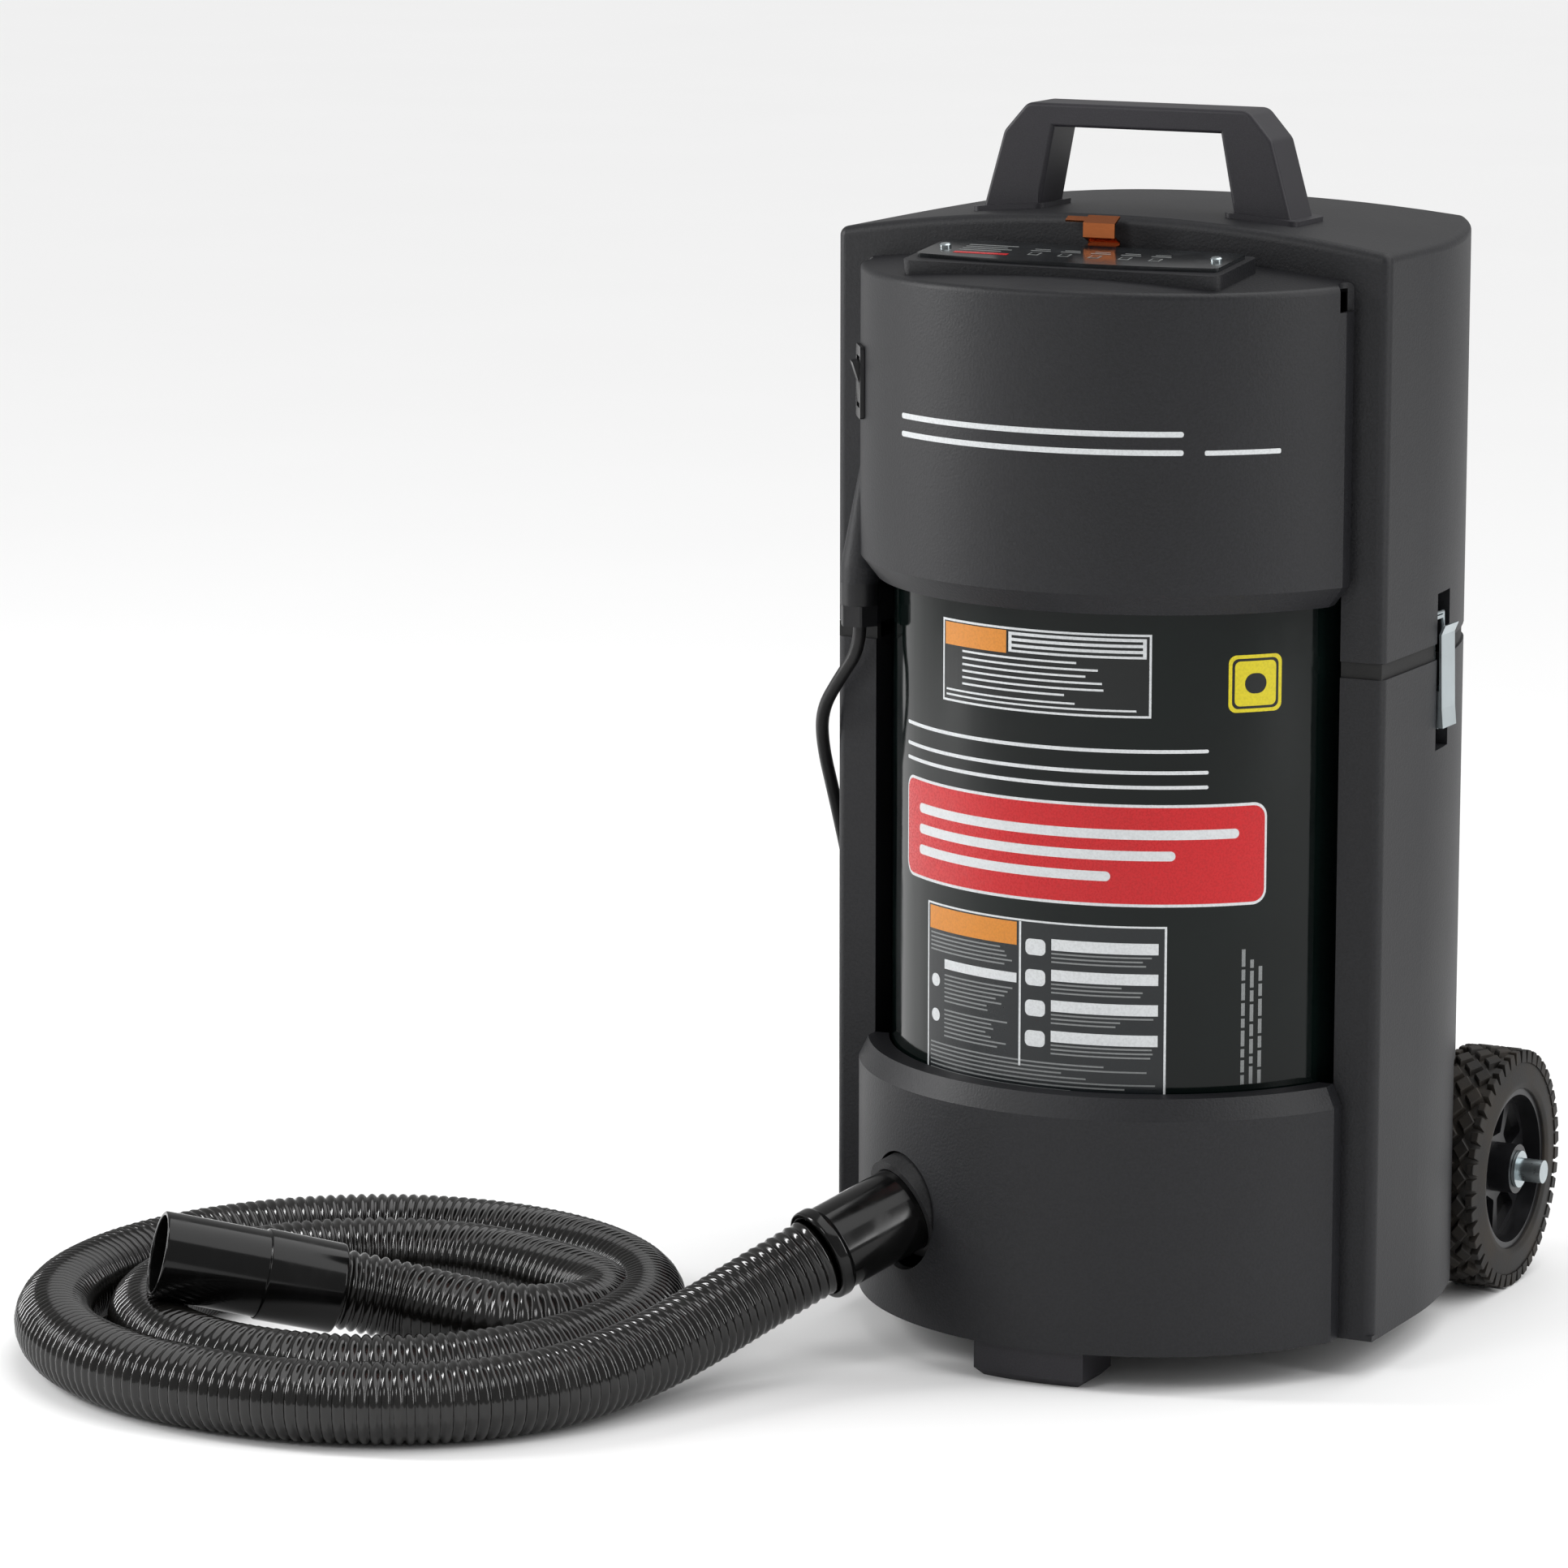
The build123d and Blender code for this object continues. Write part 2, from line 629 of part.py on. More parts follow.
def wheel_rim():
    """Right wheel's moulded rim: hub, dished web with fan-shaped windows, and bead."""
    inner_x = WHEEL_OUTER_X - WHEEL_WIDTH
    rim = rod(TYRE_INNER, inner_x + 3, WHEEL_OUTER_X - 3, AXLE_Y, WHEEL_RADIUS)
    rim -= rod(TYRE_INNER - 4, inner_x, WHEEL_OUTER_X, AXLE_Y, WHEEL_RADIUS)
    web_x = WHEEL_OUTER_X - 15
    web = rod(TYRE_INNER - 3, web_x - RIM_WEB, web_x, AXLE_Y, WHEEL_RADIUS)
    window = window_cut(web_x)
    for spoke in range(RIM_SPOKES):
        angle = 360 * spoke / RIM_SPOKES
        web -= Pos(0, AXLE_Y, WHEEL_RADIUS) * Rot(angle, 0, 0) * window
    hub = rod(HUB_RADIUS, inner_x, WHEEL_OUTER_X, AXLE_Y, WHEEL_RADIUS)
    return rim + web + hub - rod(AXLE_RADIUS + RUNNING_GAP, 0, FAR, AXLE_Y, WHEEL_RADIUS)


def window_cut(web_x):
    """One fan-shaped window between two spokes, centred on the wheel's axis."""
    half_angle = math.radians(180 / RIM_SPOKES)
    low = HUB_RADIUS + 5
    high = TYRE_INNER - 9
    bottom = low * math.tan(half_angle) - 3
    top = high * math.tan(half_angle) - 5
    shape = make_face(Polyline((-bottom, low), (bottom, low), (top, high), (-top, high), close=True))
    shape = fillet(shape.vertices(), 2.5)
    return Pos(web_x - 20, 0, 0) * extrude(Plane.YZ * shape, 40)


def tyre():
    """Right tyre: a rounded band with flat side rings."""
    half = WHEEL_WIDTH / 2
    profile = make_face(Polyline(
        (TYRE_INNER + 0.05, -half + 3),
        (TYRE_INNER + 1, -half),
        (WHEEL_RADIUS - 14, -half),
        (WHEEL_RADIUS - 3, -half + 6),
        (WHEEL_RADIUS, -half + 12),
        (WHEEL_RADIUS, half - 12),
        (WHEEL_RADIUS - 3, half - 6),
        (WHEEL_RADIUS - 14, half),
        (TYRE_INNER + 1, half),
        (TYRE_INNER + 0.05, half - 3),
        close=True,
    ))
    band = revolve(Plane.XZ * profile, Axis.Z)
    return Pos(WHEEL_OUTER_X - half, AXLE_Y, WHEEL_RADIUS) * Rot(0, 90, 0) * band


def axle():
    """Steel axle across the back, through the carrier and both wheels."""
    end = AXLE_CAP_END - AXLE_CAP_LENGTH + 4
    return rod(AXLE_RADIUS, -end, end, AXLE_Y, WHEEL_RADIUS)


def axle_carrier():
    """Moulded bar bolted to the lower shell's back that holds the axle."""
    low = WHEEL_RADIUS - CARRIER_HEIGHT / 2
    bar = block(-CARRIER_HALF, CARRIER_HALF, BACK_Y - 60, AXLE_Y + 14, low, low + CARRIER_HEIGHT)
    bar -= Pos(0, 0, low - 1) * extrude(body_plan(), CARRIER_HEIGHT + 2)
    return bar - rod(AXLE_RADIUS + RUNNING_GAP, -FAR, FAR, AXLE_Y, WHEEL_RADIUS)


def axle_spacers():
    """Sleeves between the carrier and the wheel hubs."""
    outer_end = WHEEL_OUTER_X - WHEEL_WIDTH - SIDE_PLAY
    sleeve = rod(11.0, CARRIER_HALF, outer_end, AXLE_Y, WHEEL_RADIUS)
    sleeve -= rod(AXLE_RADIUS + RUNNING_GAP, 0, FAR, AXLE_Y, WHEEL_RADIUS)
    return both_sides(sleeve)


def axle_washers():
    """Zinc washers outside the hubs."""
    start = WHEEL_OUTER_X + SIDE_PLAY
    washer = rod(WASHER_RADIUS, start, start + WASHER_THICK, AXLE_Y, WHEEL_RADIUS)
    washer -= rod(AXLE_RADIUS + RUNNING_GAP, 0, FAR, AXLE_Y, WHEEL_RADIUS)
    return both_sides(washer)


def axle_caps():
    """Pressed caps on the axle's ends."""
    start = WHEEL_OUTER_X + SIDE_PLAY + WASHER_THICK
    cap = rod(AXLE_CAP_RADIUS, start, AXLE_CAP_END, AXLE_Y, WHEEL_RADIUS)
    cap -= axle()
    return both_sides(cap)


def foot_screw_y():
    """Where the two screws stand that hold the front foot."""
    return DRUM_Y - CAP_RADIUS + FOOT_INSET + FOOT_DEPTH / 2


def front_foot():
    """Front foot: a block with a curved face that follows the cap."""
    front = disc(CAP_RADIUS - FOOT_INSET, 0, BODY_BOTTOM)
    back_y = CAP_FRONT + FOOT_INSET + FOOT_DEPTH
    foot = front & block(-FOOT_HALF, FOOT_HALF, CAP_FRONT, back_y, 0, BODY_BOTTOM)
    foot = chamfer(foot.faces().sort_by(Axis.Z)[0].edges(), FOOT_BEVEL)
    for side in (-1, 1):
        x = side * FOOT_HALF / 2
        foot -= disc(SCREW_RADIUS + SCREW_CLEARANCE, BODY_BOTTOM - 14, 60, x, foot_screw_y())
    return foot


def foot_screws():
    """Two screws from inside the lower cap into the front foot."""
    screws = Part()
    for side in (-1, 1):
        x = side * FOOT_HALF / 2
        head = disc(4.0, BODY_BOTTOM + CAP_WALL, BODY_BOTTOM + CAP_WALL + 2.5, x, foot_screw_y())
        screws += head + disc(SCREW_RADIUS, BODY_BOTTOM - 12, BODY_BOTTOM + CAP_WALL + 1, x, foot_screw_y())
    return screws


def latch_base():
    """Right latch's base plate with two ears and the pivot rivet."""
    x = HALF_WIDTH - SLOT_DEPTH
    half = LATCH_WIDTH / 2
    plate = block(x, x + 1.5, LATCH_Y - half, LATCH_Y + half, SLOT_LOW + 4, SEAM_LOW - 4)
    ears = Part()
    for side in (-1, 1):
        y = LATCH_Y + side * (half - 4)
        ears += block(x, PIVOT_X + 3, y - 0.75, y + 0.75, PIVOT_Z - 5, PIVOT_Z + 6)
    pin = rod_y(PIVOT_RADIUS, LATCH_Y - half + 1, LATCH_Y + half - 1, PIVOT_X, PIVOT_Z)
    return plate + ears + pin


def latch_lever():
    """Right latch's lever: a pressed channel that closes flat over the bail."""
    half = LATCH_WIDTH / 2
    outer = PIVOT_X + 8
    plate = make_face(Polyline(
        (outer, PIVOT_Z - LEVER_TAIL),
        (outer - 1, PIVOT_Z + 8),
        (HALF_WIDTH + 1.5, LEVER_TOP - 6),
        (HALF_WIDTH + 4, LEVER_TOP),
        (HALF_WIDTH + 4 - LEVER_THICK, LEVER_TOP),
        (HALF_WIDTH + 1.5 - LEVER_THICK, LEVER_TOP - 6),
        (outer - 1 - LEVER_THICK, PIVOT_Z + 8),
        (outer - LEVER_THICK, PIVOT_Z - LEVER_TAIL),
        close=True,
    ))
    web = Pos(0, LATCH_Y + half, 0) * extrude(Plane.XZ * plate, LATCH_WIDTH)
    ears = Part()
    for side in (-1, 1):
        y = LATCH_Y + side * (half - 0.75)
        ears += block(PIVOT_X - 4, outer - 1.2, y - 0.75, y + 0.75, PIVOT_Z - 4, BAIL_PIVOT_Z + 4)
    bore = rod_y(PIVOT_RADIUS + RUNNING_GAP, -FAR, FAR, PIVOT_X, PIVOT_Z)
    eye = rod_y(BAIL_RADIUS + RUNNING_GAP, -FAR, FAR, PIVOT_X, BAIL_PIVOT_Z)
    return web + ears - bore - eye


def latch_bail():
    """Right latch's wire bail, from the lever's eyes up to the keeper."""
    half = LATCH_WIDTH / 2 - 3
    top_x = PIVOT_X - 1
    foot_half = LATCH_WIDTH / 2
    wire = Part()
    for side in (-1, 1):
        y = LATCH_Y + side * half
        y_out = LATCH_Y + side * foot_half
        wire += rod_y(BAIL_RADIUS, min(y, y_out), max(y, y_out), PIVOT_X, BAIL_PIVOT_Z)
        leg = Pos((top_x + PIVOT_X) / 2, y, (BAIL_PIVOT_Z + BAIL_TOP_Z) / 2)
        lean = math.degrees(math.atan2(top_x - PIVOT_X, BAIL_TOP_Z - BAIL_PIVOT_Z))
        length = math.hypot(top_x - PIVOT_X, BAIL_TOP_Z - BAIL_PIVOT_Z)
        wire += leg * Rot(0, lean, 0) * Cylinder(BAIL_RADIUS, length)
        wire += Pos(PIVOT_X, y, BAIL_PIVOT_Z) * Sphere(BAIL_RADIUS)
        wire += Pos(top_x, y, BAIL_TOP_Z) * Sphere(BAIL_RADIUS)
    return wire + rod_y(BAIL_RADIUS, LATCH_Y - half, LATCH_Y + half, top_x, BAIL_TOP_Z)


def latch_keeper():
    """Right keeper: a plate on the upper shell with a ledge under the bail's bar."""
    x = HALF_WIDTH - SLOT_DEPTH
    half = LATCH_WIDTH / 2 - 5
    plate = block(x, x + 1.5, LATCH_Y - half, LATCH_Y + half, SEAM_HIGH + 4, SLOT_HIGH - 4)
    ledge_top = BAIL_TOP_Z - BAIL_RADIUS - 0.2
    ledge = block(x, PIVOT_X + 0.5, LATCH_Y - half, LATCH_Y + half, ledge_top - 2, ledge_top)
    return plate + ledge


def handle_profile():
    """The handle's outline from the front."""
    outer = Polyline(
        (-HANDLE_BASE_HALF, TOP_CREST - 25),
        (-HANDLE_BASE_HALF, TOP_CREST - 4),
        (-HANDLE_SHOULDER_HALF, HANDLE_SHOULDER_Z),
        (-HANDLE_TOP_HALF, HANDLE_TOP),
        (HANDLE_TOP_HALF, HANDLE_TOP),
        (HANDLE_SHOULDER_HALF, HANDLE_SHOULDER_Z),
        (HANDLE_BASE_HALF, TOP_CREST - 4),
        (HANDLE_BASE_HALF, TOP_CREST - 25),
        (OPENING_BASE_HALF, TOP_CREST - 25),
        (OPENING_BASE_HALF, TOP_CREST - 4),
        (OPENING_TOP_HALF, HANDLE_TOP - GRIP_HEIGHT),
        (-OPENING_TOP_HALF, HANDLE_TOP - GRIP_HEIGHT),
        (-OPENING_BASE_HALF, TOP_CREST - 4),
        (-OPENING_BASE_HALF, TOP_CREST - 25),
        close=True,
    )
    face = make_face(outer)
    shoulders = [v for v in face.vertices() if v.Z > HANDLE_SHOULDER_Z - 1 or v.Y > HANDLE_SHOULDER_Z - 1]
    tops = [v for v in shoulders if abs(v.X) > OPENING_TOP_HALF + 5]
    return fillet(tops, 9)


def handle():
    """Carrying handle: two leaning legs, a flat grip and flanged feet."""
    face = Plane.XZ * handle_profile()
    body = Pos(0, HANDLE_FRONT, 0) * extrude(face, -HANDLE_DEPTH)
    rounded = [e for e in body.edges() if e.center().Z > TOP_CREST + 6 and e.bounding_box().size.Y < 1]
    body = fillet(rounded, 2.5)
    for side in (-1, 1):
        low = min(side * OPENING_BASE_HALF, side * HANDLE_BASE_HALF) - FLANGE_MARGIN
        high = max(side * OPENING_BASE_HALF, side * HANDLE_BASE_HALF) + FLANGE_MARGIN
        pad = block(
            low, high, HANDLE_FRONT - FLANGE_MARGIN, HANDLE_FRONT + HANDLE_DEPTH + FLANGE_MARGIN,
            TOP_CREST - 40, TOP_CREST + 20,
        )
        pad = fillet(pad.edges().filter_by(Axis.Z), FLANGE_MARGIN)
        body += pad & arch_form(-FLANGE_THICK)
    body -= arch_form()
    for x, y in handle_screw_places():
        body -= disc(SCREW_RADIUS + SCREW_CLEARANCE, TOP_CREST - 40, TOP_CREST + 22, x, y)
    return body


def handle_screw_places():
    """Two screws in each foot of the handle."""
    x = (HANDLE_BASE_HALF + OPENING_BASE_HALF) / 2
    middle = HANDLE_FRONT + HANDLE_DEPTH / 2
    return [(side * x, middle + step) for side in (-1, 1) for step in (-10, 10)]


def handle_screws():
    """Four screws from inside the upper shell into the handle."""
    screws = []
    under = TOP_CREST - TOP_SAGITTA * (HANDLE_BASE_HALF / HALF_WIDTH) ** 2 - WALL - 1.0
    for x, y in handle_screw_places():
        screws.append(disc(5.0, under - 3, under, x, y) + disc(SCREW_RADIUS, under - 1, TOP_CREST + 20, x, y))
    return Part() + screws


def top_plate():
    """Printed plate on the plinth, with its front edge bowed to match the cap."""
    depth = PLATE_BACK - PLATE_FRONT
    outline = make_face([
        Line((-PLATE_HALF, depth / 2), (PLATE_HALF, depth / 2)),
        Line((PLATE_HALF, depth / 2), (PLATE_HALF, -depth / 2 + 6)),
        ThreePointArc((PLATE_HALF, -depth / 2 + 6), (0, -depth / 2), (-PLATE_HALF, -depth / 2 + 6)),
        Line((-PLATE_HALF, -depth / 2 + 6), (-PLATE_HALF, depth / 2)),
    ])
    outline = fillet(outline.vertices(), 4)
    place = tilted(0, (PLATE_BACK + PLATE_FRONT) / 2, PLINTH_HEIGHT)
    plate = place * extrude(outline, PLATE_THICK)
    for side in (-1, 1):
        plate -= tilted(side * (PLATE_HALF - 10), -40, 0) * Cylinder(SCREW_RADIUS + SCREW_CLEARANCE, 40)
    return plate


def plate_screws():
    """Two button-head screws at the plate's ends."""
    screws = []
    for side in (-1, 1):
        place = tilted(side * (PLATE_HALF - 10), -40, PLINTH_HEIGHT + PLATE_THICK)
        head = chamfer((Pos(0, 0, 1.1) * Cylinder(3.6, 2.2)).edges().sort_by(Axis.Z)[-1], 0.8)
        screws.append(place * (head + Pos(0, 0, -6) * Cylinder(SCREW_RADIUS, 12)))
    return Part() + screws


def spring_clip():
    """Copper spring clip: a bent strip with a finger, at the plate's back edge."""
    start = PLATE_BACK + 1.5
    strip = trace(Polyline(
        (start, PLINTH_HEIGHT + CLIP_THICK / 2 + 0.05),
        (start + 11, PLINTH_HEIGHT + CLIP_THICK / 2 + 0.05),
        (start + 11, PLINTH_HEIGHT + 3),
        (start + 4, PLINTH_HEIGHT + 7),
        (start + 5, PLINTH_HEIGHT + CLIP_RISE - 3),
        (start + 13, PLINTH_HEIGHT + CLIP_RISE),
    ), line_width=CLIP_THICK)
    body = Pos(-CLIP_WIDTH / 2, 0, 0) * extrude(Plane.YZ * strip, CLIP_WIDTH)
    finger = Pos(-CLIP_WIDTH / 2 - CLIP_FINGER / 2, start + 9, PLINTH_HEIGHT + CLIP_RISE - 1.6)
    body += finger * Rot(20, 0, 0) * Box(CLIP_FINGER + 4, 5, CLIP_THICK)
    return tilted(0, 0, 0) * body


def switch_frame():
    """Bezel and body of the rocker switch."""
    bezel = Pos(SWITCH_BEZEL / 2, 0, 0) * Box(SWITCH_BEZEL, SWITCH_WIDTH, SWITCH_HEIGHT)
    bezel = fillet(bezel.edges().filter_by(Axis.X), 2)
    body = Pos(-SWITCH_BODY_DEPTH / 2, 0, 0) * Box(SWITCH_BODY_DEPTH, SWITCH_WIDTH - 4, SWITCH_HEIGHT - 4)
    well = Pos(0, 0, 0) * Box(SWITCH_BODY_DEPTH + 4, ROCKER_WIDTH + 1, ROCKER_HEIGHT + 6)
    frame = bezel + body - well
    frame += Pos(-SWITCH_BODY_DEPTH / 2, 0, 0) * Box(4, SWITCH_WIDTH - 4, SWITCH_HEIGHT - 4)
    return flank_place(CAP_RADIUS, SWITCH_Z) * frame


def switch_rocker():
    """The switch's rocker, resting in its off position."""
    wedge = make_face(Polyline(
        (2.5, -ROCKER_HEIGHT / 2),
        (0.8, 0),
        (2.5, ROCKER_HEIGHT / 2),
        (-4, ROCKER_HEIGHT / 2),
        (-5, 0),
        (-4, -ROCKER_HEIGHT / 2),
        close=True,
    ))
    body = Pos(2.0, ROCKER_WIDTH / 2, 0) * Rot(0, ROCKER_TILT, 0) * extrude(Plane.XZ * wedge, ROCKER_WIDTH)
    return flank_place(CAP_RADIUS, SWITCH_Z) * body


def cable_gland():
    """Gland body screwed up into the boss."""
    low = GLAND_BOTTOM + GLAND_NUT_HEIGHT
    return disc(GLAND_RADIUS, low, BOSS_BOTTOM, BOSS_X, BOSS_Y)


def gland_nut():
    """Hexagonal dome nut round the cord."""
    nut = extrude(RegularPolygon(GLAND_RADIUS + 1, 6), GLAND_NUT_HEIGHT)
    nut = nut & Pos(0, 0, GLAND_NUT_HEIGHT / 2) * Cylinder(GLAND_RADIUS + 0.6, GLAND_NUT_HEIGHT)
    return Pos(BOSS_X, BOSS_Y, GLAND_BOTTOM) * nut


def motor_deck():
    """Deck plate on the shelf, with an eye under each fan."""
    deck = disc(DECK_OPENING + 12, DECK_LOW, FAN_LOW)
    for side in (-1, 1):
        deck -= disc(FAN_EYE, 0, FAR, side * MOTOR_X, MOTOR_Y)
    return deck


def fan_case(side):
    """Round fan case, open below at the eye and at a side outlet."""
    x = side * MOTOR_X
    case = disc(FAN_CASE_RADIUS, FAN_LOW, FAN_LOW + FAN_CASE_HEIGHT, x, MOTOR_Y)
    inner = FAN_CASE_RADIUS - FAN_CASE_WALL
    case -= disc(inner, FAN_LOW + FAN_CASE_WALL, FAN_LOW + FAN_CASE_HEIGHT - FAN_CASE_WALL, x, MOTOR_Y)
    case -= disc(FAN_EYE, 0, FAN_LOW + 10, x, MOTOR_Y)
    case -= disc(SHAFT_RADIUS + 1, FAN_LOW + 20, FAR, x, MOTOR_Y)
    outlet_z = FAN_LOW + FAN_CASE_HEIGHT / 2
    outlet = block(x - 20, x + 20, MOTOR_Y + 30, MOTOR_Y + 90, outlet_z - 12, outlet_z + 12)
    return case - outlet


def impeller(side):
    """Fan wheel: two discs with blades between them, and its shaft."""
    x = side * MOTOR_X
    radius = FAN_CASE_RADIUS - FAN_CASE_WALL - FAN_GAP
    low = FAN_LOW + FAN_CASE_WALL + FAN_GAP
    high = FAN_LOW + FAN_CASE_HEIGHT - FAN_CASE_WALL - FAN_GAP
    wheel = disc(radius, high - 2, high, x, MOTOR_Y) + ring(radius, FAN_EYE, low, low + 2, x, MOTOR_Y)
    blade = Pos(radius * 0.62, 0, (low + high) / 2) * Rot(0, 0, 35) * Box(radius * 0.55, 1.6, high - low - 2)
    for step in range(FAN_BLADES):
        wheel += Pos(x, MOTOR_Y, 0) * Rot(0, 0, 360 * step / FAN_BLADES) * blade
    return wheel + disc(SHAFT_RADIUS, high - 12, FAN_LOW + FAN_CASE_HEIGHT + MOTOR_HEIGHT - 8, x, MOTOR_Y)


def motor(side):
    """Motor on top of its fan case, bored for the shaft."""
    x = side * MOTOR_X
    low = FAN_LOW + FAN_CASE_HEIGHT
    body = disc(MOTOR_RADIUS, low, low + MOTOR_HEIGHT, x, MOTOR_Y)
    body = fillet(body.edges().sort_by(Axis.Z)[-1], 8)
    return body - disc(SHAFT_RADIUS + RUNNING_GAP, low - 1, low + MOTOR_HEIGHT - 6, x, MOTOR_Y)


def exhaust_grille():
    """Slotted plate in the back of the upper shell."""
    grille = block(-GRILLE_HALF, GRILLE_HALF, BACK_Y - WALL, BACK_Y, GRILLE_LOW, GRILLE_HIGH)
    pitch = (GRILLE_HIGH - GRILLE_LOW) / GRILLE_SLOTS
    for slot in range(GRILLE_SLOTS):
        z = GRILLE_LOW + pitch * (slot + 0.5)
        grille -= block(-GRILLE_HALF + 8, GRILLE_HALF - 8, BACK_Y - 10, BACK_Y + 5, z - 2.2, z + 2.2)
    return grille


def control_board():
    """Circuit board standing on the deck behind the switch."""
    y = MOTOR_Y - FAN_CASE_RADIUS - 18
    board = block(-BOARD_SIZE / 2, BOARD_SIZE / 2, y, y + 1.6, FAN_LOW, FAN_LOW + BOARD_HEIGHT)
    for step in range(3):
        x = -24 + 22 * step
        board += block(x - 6, x + 6, y + 1.6, y + 9, FAN_LOW + 12, FAN_LOW + 34)
    return board


def route(points):
    """Straight runs joined by tangent arcs, each as large as its two runs allow."""
    radii = []
    for before, here, after in zip(points, points[1:], points[2:]):
        first = Vector(*here) - Vector(*before)
        second = Vector(*after) - Vector(*here)
        turn = math.radians(first.get_angle(second))
        radii.append(0.45 * min(first.length, second.length) / math.tan(turn / 2))
    path = FilletPolyline(*points, radius=radii)
    return path, radii


def tube(name, points, diameter, bore=0.0):
    """A cord's plain tube along its route; prints its radii and compares its volume."""
    path, radii = route(points)
    section = Plane(origin=path @ 0, z_dir=path % 0) * Circle(diameter / 2)
    solid = sweep(section, path=path)
    share = solid.volume / (math.pi * (diameter / 2) ** 2 * path.length)
    print(name, "length", round(path.length), "radii", [round(r) for r in radii], "volume ratio", round(share, 4))
    if bore:
        solid -= sweep(Plane(origin=path @ 0, z_dir=path % 0) * Circle(bore / 2), path=path)
    return solid


def along(start, end):
    """A place at the start, with its own z axis pointing to the end."""
    return Plane(origin=Vector(*start), z_dir=Vector(*end) - Vector(*start)).location


def hose_cuff():
    """Rigid cuff that plugs into the inlet collar, with a flange where the hose begins."""
    long = CUFF_INSERT + CUFF_REACH
    middle = (CUFF_REACH - CUFF_INSERT) / 2
    cuff = Pos(0, 0, middle) * Cylinder(CUFF_DIAMETER / 2, long)
    flange = Pos(0, 0, CUFF_REACH - CUFF_FLANGE_LENGTH / 2) * Cylinder(CUFF_FLANGE / 2, CUFF_FLANGE_LENGTH)
    bore = Pos(0, 0, middle) * Cylinder(CUFF_BORE / 2, long + 2)
    return inlet_axis() * (cuff + flange - bore)


def hose_coil():
    """Closed solid round the hose's loose turns on the floor."""
    half = HOSE_DIAMETER / 2
    middle = (COIL_OUTER + COIL_INNER) / 2
    section = Pos(middle, 0) * SlotOverall(COIL_OUTER - COIL_INNER, HOSE_DIAMETER - 0.2)
    return Pos(COIL_X, COIL_Y, half) * revolve(Plane.XZ * section, Axis.Z)


def hose_nozzle():
    """Two-step nozzle at the hose's free end."""
    length = (Vector(*NOZZLE_END) - Vector(*NOZZLE_START)).length
    step = length * 0.42
    back = Pos(0, 0, step / 2) * Cylinder(NOZZLE_STEP / 2, step)
    front = Pos(0, 0, length / 2) * Cylinder(NOZZLE_DIAMETER / 2, length)
    bore = Pos(0, 0, length / 2 + 6) * Cylinder(NOZZLE_BORE / 2, length)
    throat = Pos(0, 0, length / 2) * Cylinder(HOSE_BORE / 2, length + 2)
    return along(NOZZLE_START, NOZZLE_END) * (back + front - bore - throat)


def cord_coil():
    """Closed solid round the power cord's stored turns."""
    half = CORD_COIL_WIDE * CORD_DIAMETER / 2
    high = CORD_COIL_HIGH * CORD_DIAMETER
    return ring(
        CORD_COIL_MID + half, CORD_COIL_MID - half, CORD_COIL_Z, CORD_COIL_Z + high, CORD_COIL_X, CORD_COIL_Y
    )


def cord_tie():
    """Strap round the stored coil."""
    half = CORD_COIL_WIDE * CORD_DIAMETER / 2
    high = CORD_COIL_HIGH * CORD_DIAMETER
    wide = 2 * (half + CORD_TIE_SLACK)
    outer = Box(wide + 2 * CORD_TIE_THICK, CORD_TIE_WIDTH, high + 2 * CORD_TIE_THICK + 0.2)
    inner = Box(wide, CORD_TIE_WIDTH + 2, high + 0.2)
    return Pos(CORD_COIL_X - CORD_COIL_MID, CORD_COIL_Y, CORD_COIL_Z + high / 2) * (outer - inner)


def power_plug():
    """Mains plug lying on the floor at the cord's end."""
    start = CORD_END_POINTS[-1]
    end = (start[0] + 2, start[1] - 10, start[2])
    body = Pos(0, 0, PLUG_LENGTH / 2) * Cylinder(PLUG_RADIUS, PLUG_LENGTH)
    body = chamfer(body.edges().sort_by(Axis.Z)[0], 6)
    pins = Part()
    for x, y in ((-6.35, 0), (6.35, 0)):
        pins += Pos(x, y, PLUG_LENGTH + 8) * Box(1.5, 6.5, 18)
    pins += Pos(0, 9, PLUG_LENGTH + 9) * Cylinder(2.4, 20)
    return along(start, end) * (body + pins)


NODES = {
    "lower_shell": lower_shell,
    "lower_front_cap": lower_front_cap,
    "front_foot": front_foot,
    "foot_screws": foot_screws,
    "seam_gasket": seam_gasket,
    "inlet_chamber": inlet_chamber,
    "inlet_collar": inlet_collar,
    "spark_screen": spark_screen,
    "filter_rings": filter_rings,
    "filter_media": filter_media,
    "axle_carrier": axle_carrier,
    "axle": axle,
    "axle_spacers": axle_spacers,
    "axle_washers": axle_washers,
    "axle_caps": axle_caps,
    "upper_shell": upper_shell,
    "upper_front_cap": upper_front_cap,
    "handle": handle,
    "handle_screws": handle_screws,
    "top_plate": top_plate,
    "plate_screws": plate_screws,
    "spring_clip": spring_clip,
    "switch_frame": switch_frame,
    "switch_rocker": switch_rocker,
    "cable_gland": cable_gland,
    "gland_nut": gland_nut,
    "motor_deck": motor_deck,
    "exhaust_grille": exhaust_grille,
    "control_board": control_board,
    "hose_cuff": hose_cuff,
    "hose_coil": hose_coil,
    "hose_nozzle": hose_nozzle,
    "power_cord_coil": cord_coil,
    "cord_tie": cord_tie,
    "power_plug": power_plug,
}

MIRRORED = {
    "wheel_rim": wheel_rim,
    "tyre": tyre,
    "latch_base": latch_base,
    "latch_lever": latch_lever,
    "latch_bail": latch_bail,
    "latch_keeper": latch_keeper,
}

BLOWERS = {
    "fan_case": fan_case,
    "impeller": impeller,
    "motor": motor,
}


